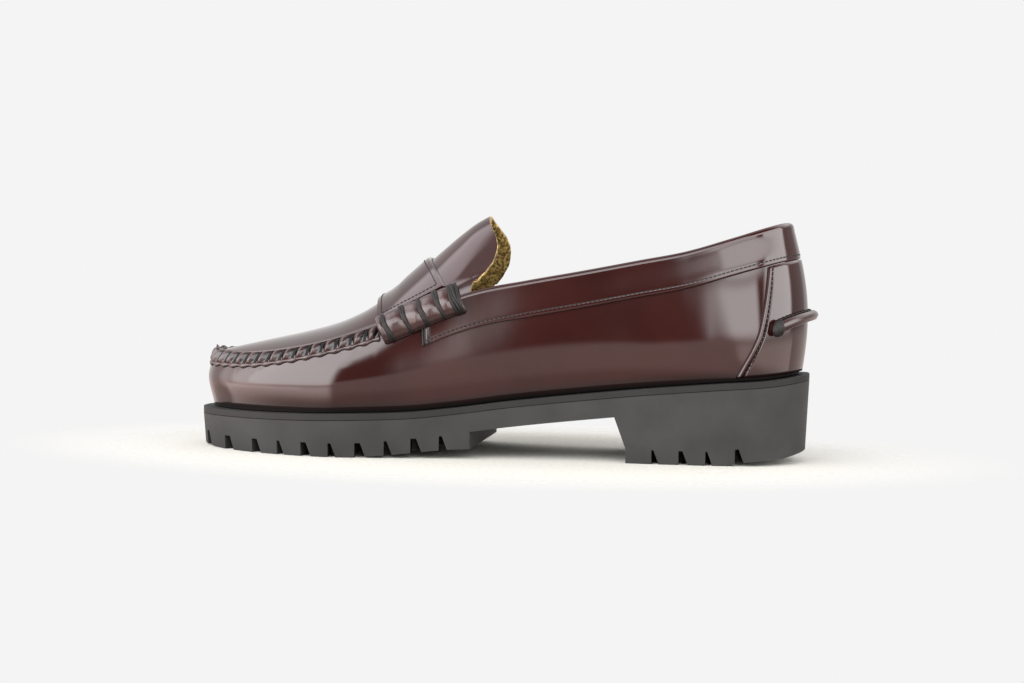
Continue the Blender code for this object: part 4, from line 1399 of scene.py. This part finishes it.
# %% Rolls
ROLL_THICKNESS = 0.0062
ROLL_REACH = 0.0058         # half its width over the seam
ROLL_SLANT = 0.42           # how far its section leans back as it goes down the wall
WINDINGS = (0.10, 0.33, 0.535, 0.735, 0.905, 0.960)     # shares along from its front
ROLL_CORD = 0.00070         # radius of the lashing cord
BLEND = 0.45                # how far from its middle the roll turns over the seam
NECK = (0.72, 0.095)        # girth under a lashing, and how far along it swells again
END = (0.45, 0.06)          # the same at the roll's ends
SIDES = {"inner": 1.0, "outer": -1.0}


def roll_height(share, c):
    """Height of the roll over its bed: share along from the front, c across."""
    near = np.min([np.abs(share - w) for w in WINDINGS], axis=0)
    neck = NECK[0] + (1.0 - NECK[0]) * quarter_round(near / NECK[1])
    end = END[0] + (1.0 - END[0]) * quarter_round(np.minimum(share, 1.0 - share) / END[1])
    return ROLL_THICKNESS * neck * end * np.sqrt(1.0 - 0.96 * capped(np.abs(c)) ** 2)


def roll_place(side, share, c, lift):
    """Point over the seam for a share along the roll and c across it."""
    share, c, lift = arrays(share, c, lift)
    rear, fore = ROLL_SPAN
    x = SOLE_LENGTH * (fore + (rear - fore) * share) + ROLL_SLANT * ROLL_REACH * c
    s = EDGE_RING.loop_value(x) * side
    over_band = capped((BAND_FRONT + 0.02 - x / SOLE_LENGTH) / 0.014)
    low_bed = CLEARANCE + over_band * (BAND_THICKNESS + CLEARANCE)
    t = 1.0 + np.minimum(c, BLEND) * ROLL_REACH / wall_height(s)
    v = side * (1.0 - np.maximum(c, -BLEND) * 0.75 * ROLL_REACH / (BALL_WIDTH * 0.4))
    corner = smooth(capped(0.5 + 0.5 * c / BLEND))[..., None]
    turn = smooth(capped(0.5 + 0.5 * c))
    base = wall(s, t) * (1.0 - corner) + apron(x, v) * corner
    out = wall_normal(s, np.minimum(t, 0.96))
    v = np.clip(v, -0.97, 0.97)
    rise = off_apron(x, v, 1.0) - off_apron(x, v, 0.0)
    direction = unit(out * (1.0 - turn)[..., None] + rise * turn[..., None])
    bed = low_bed * (1.0 - turn) + CLEARANCE * turn
    return base + direction * (lift + bed)[..., None]


roll_share = np.linspace(0.0, 1.0, 161)[:, None]
roll_c = np.sin(np.linspace(-1.0, 1.0, 33) * np.pi / 2)[None, :]
for name, side in SIDES.items():
    height = roll_height(roll_share, roll_c)
    roll = skin(roll_place(side, roll_share, roll_c, 0.0),
                roll_place(side, roll_share, roll_c, height))
    add_piece("roll_" + name, *roll, "trim_leather", ["beefroll_" + name])

# %% Lashings
LASH_SPREAD = 0.014         # how far the cords of a lashing lie apart, as a share
PAIR = (-0.62, 0.62)
TRIPLE = (-1.0, 0.0, 1.0)
FIRST_TRIPLE = 4            # the lashings from this one on have three cords


def lashing(side, share, strands, crossing):
    """Cords of one lashing over a roll."""
    c = np.linspace(-1.03, 1.0, 25)
    parts = []
    for strand in strands:
        lean = crossing * strand * np.sin(c * np.pi / 2)
        at = share + strand * LASH_SPREAD + lean * LASH_SPREAD * 0.8
        path = roll_place(side, at, np.clip(c, -1.0, 1.0), roll_height(at, c) + ROLL_CORD * 0.55)
        parts.append(tube(path, ROLL_CORD, 8, (1.0, 0.0, 0.05)))
    return parts


for name, side in SIDES.items():
    parts = []
    for number, share in enumerate(WINDINGS):
        strands = TRIPLE if number >= FIRST_TRIPLE else PAIR
        parts += lashing(side, share, strands, 1.0 if number % 2 else -0.6)
    along = np.linspace(0.02, 0.98, 60)
    for edge in (-1.0, 1.0):
        path = roll_place(side, along, edge, ROLL_CORD)
        parts.append(tube(path, ROLL_CORD * 0.6, 6))
    add_piece("lashing_" + name, *bundle(parts), "waxed_cord")

# %% [markdown]
# ## The pleated seam round the toe
#
# Seen close, the seam is three things: the apron's cut edge standing up as a thin lip,
# slanting pleats of the wall pulled over it, and below them a scalloped edge where the
# leather bulges out between stitches. Dark cord crosses each gap twice and runs along the
# bottom, and the gaps are darkened with painted shade. Each of these is a strip or cord
# along the seam, shaped by the pleat number.

# %% Pleats
PLEAT_HEIGHT = 0.0019
PLEAT_LOW = -0.0019         # reach of the pleats down the wall
PLEAT_HIGH = 0.0026         # and in over the apron
PLEAT_SLANT = 0.0007        # lean towards the heel at the top, on the inner side
PLEAT_CREST = -0.12         # where they stand highest, a little towards the wall
PLEAT_WIDTH = 0.70          # share of its pitch that a pleat fills in its middle
PLEAT_FLARE = 0.24          # how much wider it is at its top, and narrower at its foot
PLEAT_PLUMP = 0.6           # power that fills its section out
GAP_HEIGHT = 0.08           # height left between two pleats, as a share
SEAM_BED = 0.0003           # how deep the pleats are seated in the leather
STEPS = 28                  # points along one pleat

numbers = np.arange(0, PLEATS * STEPS + 1) / STEPS
pleat_c = np.linspace(-1.0, 1.0, 19)[None, :]
pleat_q = numbers[:, None]
place_across = np.where(pleat_c < 0.0, -pleat_c * PLEAT_LOW, pleat_c * PLEAT_HIGH)
pleat_s = seam_value(np.clip(pleat_q - PLEAT_SLANT / PITCH * pleat_c, 0.0, PLEATS))
phase = np.abs(pleat_q - np.floor(pleat_q) - 0.5) * 2.0
width = PLEAT_WIDTH + PLEAT_FLARE * pleat_c
bump = (0.5 + 0.5 * np.cos(np.pi * capped(phase / width))) ** PLEAT_PLUMP
off_crest = pleat_c - PLEAT_CREST
crest = off_crest / (1.0 + np.where(off_crest < 0.0, PLEAT_CREST, -PLEAT_CREST))
arch = np.sqrt(capped(1.0 - crest ** 2))
pleat_lift = PLEAT_HEIGHT * arch * (GAP_HEIGHT + (1.0 - GAP_HEIGHT) * bump) + 0.00005
pleat_top = beside_seam(pleat_s, place_across, pleat_lift)
pleat_bottom = beside_seam(pleat_s, place_across, -SEAM_BED)
pleats = add_piece("seam_pleats", *skin(pleat_bottom, pleat_top), "trim_leather")
# Painted shade in the gaps between the pleats, darkest where the pleats are lowest
gap_shade = (1.0 - 1.6 * bump).ravel()
darken(pleats, np.resize(gap_shade, len(pleats.data.vertices)))

# %% Scalloped edge and lip
SCALLOP_AT = -0.0022        # the scalloped edge, down the wall from the seam
SCALLOP_RADIUS = 0.00058    # at its thin places, and twice that at its full ones
LIP_AT = 0.0029             # the apron's lip, in from the seam

fine = np.arange(0, PLEATS * 16 + 1) / 16
lens = 0.5 + 0.5 * np.cos(2.0 * np.pi * fine)
scallop_path = beside_seam(seam_value(fine), SCALLOP_AT - 0.0003 * lens, 0.00012)
scallop = tube(scallop_path, SCALLOP_RADIUS * (1.0 + lens), 10)
lip = tube(beside_seam(seam_value(fine), LIP_AT, 0.00030), 0.00056, 8)
add_piece("seam_edges", *bundle([scallop, lip]), "trim_leather")

# %% Seam cords
SEAM_CORD = 0.00028         # radius of the sewing cord
GAP_CORDS = (-0.055, 0.055)     # the two cords in a gap, in pleats off its middle
parts = []
c = np.linspace(-1.0, 0.95, 11)
at = np.where(c < 0.0, -c * (PLEAT_LOW - 0.0004), c * PLEAT_HIGH)
lift = PLEAT_HEIGHT * 0.10 * np.sqrt(capped(1.0 - c * c)) + SEAM_CORD * 0.6
for gap in range(PLEATS + 1):
    for offset in GAP_CORDS:
        s = seam_value(np.clip(gap + offset - PLEAT_SLANT / PITCH * c, 0.0, PLEATS))
        parts.append(tube(beside_seam(s, at, lift), SEAM_CORD, 6))
under = SCALLOP_AT - 0.0008 * lens - 0.0004
parts.append(tube(beside_seam(seam_value(fine), under, 0.00030), 0.00030, 6))
lip_line = beside_seam(seam_value(fine), LIP_AT + 0.0007, 0.00020)
parts.append(stitches(lip_line, 0.0021, 0.0013, 0.00022))
add_piece("seam_cords", *bundle(parts), "waxed_cord")

# %% [markdown]
# ## Roll at the heel
#
# A second, slimmer roll crosses the back of the heel, sewn along both edges. It narrows
# towards the back, and its ends are wound with cord from a thin tip to their full girth.
# We sweep a section with a fold line in it, and run cords along its edges.

# %% Heel roll
HEEL_ROLL_HEIGHT = 0.0054
HEEL_ROLL_THICKNESS = 0.0042
HEEL_ROLL_SPAN = 0.081          # its ends, in shares of the length
HEEL_ROLL_RISE = (0.350, 0.405)     # its place up the wall, at its ends and at the back
HEEL_ROLL_WAIST = 0.25      # how much slimmer it is at the back
HEEL_ROLL_KNOB = 0.06       # share of its length over which its ends close
HEEL_WRAP_CORD = 0.00072    # radius of the cord round its ends
HEEL_STITCH = (0.0023, 0.0021, 0.00042)     # pitch, length and radius along its edges

heel_end = float(EDGE_RING.loop_value(HEEL_ROLL_SPAN * SOLE_LENGTH))
HEEL_BED = 2.0 * CLEARANCE + COUNTER_THICKNESS


def heel_roll_place(c, up_off, out_off):
    """Point by the heel roll: c from end to end, offsets up and out from its middle."""
    t = HEEL_ROLL_RISE[1] + (HEEL_ROLL_RISE[0] - HEEL_ROLL_RISE[1]) * c * c
    height = wall_height(c * heel_end)
    return off_wall(c * heel_end, t + up_off / height, HEEL_BED + out_off)


def heel_roll_width(c):
    """Share of its full width that the roll has from end to end."""
    return 1.0 - HEEL_ROLL_WAIST * (1.0 - np.abs(c))


heel_c, heel_turn = arrays(np.linspace(-1.0, 1.0, 101)[:, None],
                           (2.0 * np.pi * np.arange(24) / 24)[None, :])
in_knob = np.clip(np.abs(heel_c) - (1.0 - HEEL_ROLL_KNOB), 0.0, HEEL_ROLL_KNOB)
rounded = np.sqrt(capped(1.0 - (in_knob / (HEEL_ROLL_KNOB + 0.002)) ** 2))
crease = 1.0 - 0.13 * np.exp(-((heel_turn - np.pi / 2 - 0.5) / 0.20) ** 2)
up_off = heel_roll_width(heel_c) * rounded * HEEL_ROLL_HEIGHT / 2 * np.cos(heel_turn) * crease
out_off = HEEL_ROLL_THICKNESS / 2 * (1.02 + np.sin(heel_turn) * crease * rounded)
heel_points = heel_roll_place(heel_c, up_off, out_off)
rows, cols = heel_c.shape
heel_faces = grid_faces(rows, cols, closed_cols=True)
heel_faces.append(list(range(cols)))
heel_faces.append(list(range((rows - 1) * cols, rows * cols))[::-1])
add_piece("heel_roll_leather", heel_points.reshape(-1, 3), heel_faces, "trim_leather",
          ["heel_roll"])

# %% Heel roll cords
# Turns of cord at the roll's ends: share back from the end, girth against the roll's
HEEL_WRAPS = [(-0.036, 0.15), (-0.030, 0.42), (-0.014, 0.70), (0.006, 0.94),
              (0.030, 1.05), (0.056, 1.08), (0.082, 1.08)]
parts = []
run = np.linspace(-0.94, 0.94, 90)
edge_up = heel_roll_width(run) * (HEEL_ROLL_HEIGHT / 2 + 0.0002)
turn = np.linspace(-0.35, np.pi + 0.35, 19)
for sign in (1.0, -1.0):
    parts.append(stitches(heel_roll_place(run, sign * edge_up, 0.0007), *HEEL_STITCH))
for sign in (-1.0, 1.0):
    for offset, girth in HEEL_WRAPS:
        out = HEEL_ROLL_THICKNESS / 2 * (1.02 + girth * np.sin(turn)) + 0.0003
        path = heel_roll_place(np.full(len(turn), sign * (0.985 - offset)),
                               girth * HEEL_ROLL_HEIGHT / 2 * np.cos(turn), out)
        parts.append(tube(path, HEEL_WRAP_CORD, 8, (1.0, 0.2, 0.0)))
add_piece("heel_roll_cords", *bundle(parts), "waxed_cord")

# %% [markdown]
# ## Stitch rows
#
# Machine stitches are about two millimetres long and sink a little into the leather. A
# dashed line would do from afar, but the light shows that they are threads, so each is a
# tiny spindle. The rows are joined to one piece.

# %% Stitches
THREAD = 0.00031            # radius of the thread
BAND_STITCH = (0.0020, 0.0016)      # pitch and length of the stitches
COUNTER_STITCH = (0.0021, 0.0016)
STRAP_STITCH = (0.0019, 0.0015)
STRAP_ROW = 0.06            # the end rows' place in from the strap's ends, as a share
FRONT_CORDS = (0.0000, 0.0028, 0.0056, 0.0085)     # loop values back from the band's front

dense_s = np.linspace(-band_end * 0.995, band_end * 0.995, 500)
low = 1.0 - BAND_HEIGHT / wall_height(dense_s)
groove_up, groove_share = BAND_SECTION[5]
line = off_wall(dense_s, low + (1.0 - low) * groove_up, CLEARANCE + BAND_THICKNESS * groove_share)
parts = [stitches(line, *BAND_STITCH, THREAD)]
up_shares = np.linspace(0.02, 0.99, 80)
counter_row = 1.0 - COUNTER_BEAD_WIDTH * 1.2 / COUNTER_HALF_RUN
for side in SIDES.values():
    line = counter_place(side * counter_row + 0.0 * up_shares, up_shares,
                         CLEARANCE + COUNTER_THICKNESS - 0.0001)
    parts.append(stitches(line, *COUNTER_STITCH, THREAD))
strap_top = STRAP_BED + STRAP_THICKNESS
strap_row = STRAP_END - STRAP_ROW
v_line = np.linspace(-strap_row, strap_row, 200)
for share in (0.09, 0.91):
    row = off_apron(strap_x(v_line, share), v_line, strap_top)
    parts.append(stitches(row, *STRAP_STITCH, THREAD))
shares = np.linspace(0.09, 0.91, 80)
for side in SIDES.values():
    v = np.full(len(shares), side * strap_row)
    row = off_apron(strap_x(v, shares), v, strap_top)
    parts.append(stitches(row, *STRAP_STITCH, THREAD))
up_t = np.linspace(0.03, 0.62, 14)
for side in SIDES.values():
    for back_off in FRONT_CORDS:
        s = side * (band_end - back_off)
        t = 1.0 - BAND_HEIGHT / wall_height(s) * (1.0 - up_t)
        path = off_wall(s, t, CLEARANCE + BAND_THICKNESS * 0.55)
        parts.append(tube(path, THREAD * 1.6, 6, (1.0, 0.2, 0.1)))
add_piece("stitch_rows", *bundle(parts), "waxed_cord")

# %% [markdown]
# ## Floor and backdrop
#
# The shoe stands on a pale table in front of a bright wall, and the two run into each
# other without a line. The table's finish fades out with distance from the shoe, so that
# only its soft shadow is left, and the wall is the world's own light. In the leather the
# table shows duller than it looks from the camera, as a pale table without glare does.

# %% Floor
FLOOR_FADE = (0.070, 0.155)     # distance from the shoe's middle where the table fades out
FLOOR_STRETCH = 0.64            # width of the patch of table, as a share of its length
DULL_TABLE = (0.330, 0.305, 0.280, 1.0)     # the table without glare, as reflections show it


def soft_range(tree, value, start, end):
    """Goes softly from 0 to 1 as the value goes from start to end."""
    node = add_node(tree, "MapRange", {"Value": value, "From Min": start, "From Max": end})
    node.interpolation_type = "SMOOTHSTEP"
    return node.outputs["Result"]


floor_mesh = bpy.data.meshes.new("floor")
floor_mesh.from_pydata([(-1, -1, 0), (1, -1, 0), (1, 1, 0), (-1, 1, 0)], [], [(0, 1, 2, 3)])
floor = bpy.data.objects.new("floor", floor_mesh)
bpy.context.scene.collection.objects.link(floor)
floor_finish, tree, shader, place = new_finish("pale table")
speck = add_noise(tree, place, 420.0, 4.0)
felt = add_ramp(tree, speck, [(0.30, (0.475, 0.479, 0.430)), (0.70, (0.570, 0.574, 0.535))])
seen = add_node(tree, "LightPath", {}).outputs["Is Camera Ray"]
tone = add_node(tree, "MixRGB", {"Fac": seen, "Color1": DULL_TABLE, "Color2": felt})
feed(tree, shader, {"Base Color": tone.outputs["Color"], "Roughness": 0.95,
                    "Specular IOR Level": 0.0})
squeeze = add_node(tree, "Mapping", {"Vector": place, "Scale": (FLOOR_STRETCH, 1.0, 1.0)})
distance = add_node(tree, "VectorMath", {0: squeeze.outputs["Vector"]})
distance.operation = "LENGTH"
fade = soft_range(tree, distance.outputs["Value"], *FLOOR_FADE)
clear = add_node(tree, "BsdfTransparent", {}).outputs["BSDF"]
blend = add_node(tree, "MixShader", {"Fac": fade, 1: shader.outputs["BSDF"], 2: clear})
feed(tree, tree.nodes["Material Output"], {"Surface": blend.outputs["Shader"]})
floor_mesh.materials.append(floor_finish)

# %% Backdrop
BACKDROP = 0.905            # brightness of the wall behind the shoe
DARK_SIDE = 0.04            # of the room behind the camera
TABLE_GLOW = 1.00           # of the table further out, as the shoe's sides reflect it
ROOM_MIDDLE = -18.0         # azimuth of the middle of the dark side, in degrees
ROOM_HALF = 118.0           # how far the dark side reaches to either side of it
ROOM_EDGE = 12.0            # how softly it ends
TABLE_TOP = (-5.5, -0.5)    # degrees above the table over which its light ends
TABLE_FOOT = (-36.0, -20.0)     # and begins, out from under the shoe
TABLE_TINT = (1.0, 0.84, 0.79)      # warm light from the table
WALL_TINT = (1.0, 0.985, 0.98)      # nearly white light from the walls
SKY_TINT = (1.0, 0.94, 0.975)       # cool light from the ceiling

world = bpy.data.worlds.new("studio")
world.use_nodes = True
bpy.context.scene.world = world
tree = world.node_tree


def math_node(operation, *values):
    """Result of an operation on numbers or on other nodes' outputs."""
    node = add_node(tree, "Math", dict(enumerate(values)))
    node.operation = operation
    return node.outputs[0]


def times(a, b):
    """Product of two numbers or outputs."""
    return math_node("MULTIPLY", a, b)


def between(value, low, high, edge):
    """1 between two limits and 0 outside them, with soft edges."""
    return math_node("SUBTRACT", soft_range(tree, value, low - edge, low + edge),
                     soft_range(tree, value, high - edge, high + edge))


heading = add_node(tree, "TexCoord", {}).outputs["Generated"]
axes = add_node(tree, "SeparateXYZ", {"Vector": heading}).outputs
azimuth = times(math_node("ARCTAN2", axes["X"], axes["Y"]), 180.0 / math.pi)
elevation = times(math_node("ARCSINE", axes["Z"]), 180.0 / math.pi)
off_axis = math_node("ABSOLUTE", math_node("ADD", azimuth, -ROOM_MIDDLE))
wall_side = soft_range(tree, off_axis, ROOM_HALF - ROOM_EDGE, ROOM_HALF + ROOM_EDGE)
walls_light = math_node("ADD", times(wall_side, BACKDROP - DARK_SIDE), DARK_SIDE)
not_above = math_node("SUBTRACT", 1.0, soft_range(tree, elevation, *TABLE_TOP))
table_light = times(not_above, soft_range(tree, elevation, *TABLE_FOOT))
room = math_node("MAXIMUM", walls_light, times(table_light, TABLE_GLOW))

# %% [markdown]
# ## Soft boxes
#
# A glossy shoe is lit by what it reflects. A large soft box on the toe's side gives the
# long grey sheen there, and dimmer ones carry it on round the toe. Two smaller ones light
# the heel with a dark stripe between them, a band above them all draws the line along the
# collar, and the highest ones light the strap and tongue. The room behind the camera stays
# dark and leaves the deep red in the middle. The boxes stand far off, so they are rows of
# a table as the shoe sees them: degrees from the camera's side towards the toe, degrees
# above the table, how far they lean over, how soft their edges are, and how bright their
# cloth is.

# %% Soft boxes
SOFT_BOXES = [
    # from, to, low, high, lean, edge, brightness, and what each lights
    (12.8, 78.0, -8.0, 47.0, 0.0, 4.0, 6.1),        # the sheen on the toe
    (8.5, 40.0, 22.0, 42.0, 0.0, 3.5, 5.0),
    (55.0, 92.0, -14.0, 42.0, 0.0, 10.0, 4.8),      # on round the toe, dimmer and dimmer
    (70.0, 108.0, -20.0, 34.0, 0.0, 10.0, 2.8),
    (90.0, 150.0, -20.0, 28.0, 0.0, 9.0, 1.2),
    (12.5, 102.0, -30.0, -8.0, 0.0, 5.5, 3.8),      # the toe's foot, over the sole
    (34.0, 96.0, -20.0, -8.0, 0.0, 8.0, 4.9),
    (-8.0, 60.0, 28.0, 43.0, 0.0, 2.5, 5.5),        # the line along the collar
    (-97.0, -7.5, 25.2, 44.0, 0.0, 2.5, 5.2),
    (-150.0, -88.0, -20.0, 60.0, 0.0, 8.0, 0.5),    # the back of the heel, faintly
    (-42.0, -10.4, -4.0, 25.0, 0.30, 4.8, 5.3),     # the quarter, before the counter
    (-97.0, -49.0, -3.0, 27.0, 0.0, 4.0, 5.6),      # the counter, behind a dark stripe
    (-105.0, -15.0, -17.0, -5.0, 0.0, 4.0, 2.3),    # the foot of the walls
    (80.0, 132.0, 38.0, 63.0, 0.0, 6.0, 3.1),       # the strap and tongue
    (30.0, 90.0, 55.0, 72.0, 0.0, 9.0, 0.8),
    (-15.0, 60.0, 47.0, 60.0, 0.0, 5.0, 5.5),
    (-175.0, -105.0, 22.0, 62.0, 0.0, 12.0, 2.3),   # the far side's top, past the heel
]

light = room
for first, last, low, high, lean, edge, level in SOFT_BOXES:
    leant = math_node("SUBTRACT", azimuth, times(elevation, lean))
    box = times(between(leant, first, last, edge), between(elevation, low, high, edge))
    light = math_node("MAXIMUM", light, times(box, level))

height_share = math_node("MULTIPLY_ADD", elevation, 1.0 / 100.0, 0.30)
tint = add_ramp(tree, height_share, [(0.20, TABLE_TINT), (0.32, WALL_TINT),
                                     (0.62, WALL_TINT), (0.75, SKY_TINT)])
seen = add_node(tree, "LightPath", {}).outputs["Is Camera Ray"]
strength = add_node(tree, "Mix", {"Factor": seen, "A": light, "B": BACKDROP})
shown = add_node(tree, "MixRGB", {"Fac": seen, "Color1": tint, "Color2": (1.0, 1.0, 1.0, 1.0)})
feed(tree, tree.nodes["Background"], {"Strength": strength.outputs["Result"],
                                      "Color": shown.outputs["Color"]})
bpy.context.scene.view_settings.view_transform = "Standard"
bpy.context.scene.view_settings.look = "None"
print("soft boxes:", len(SOFT_BOXES))
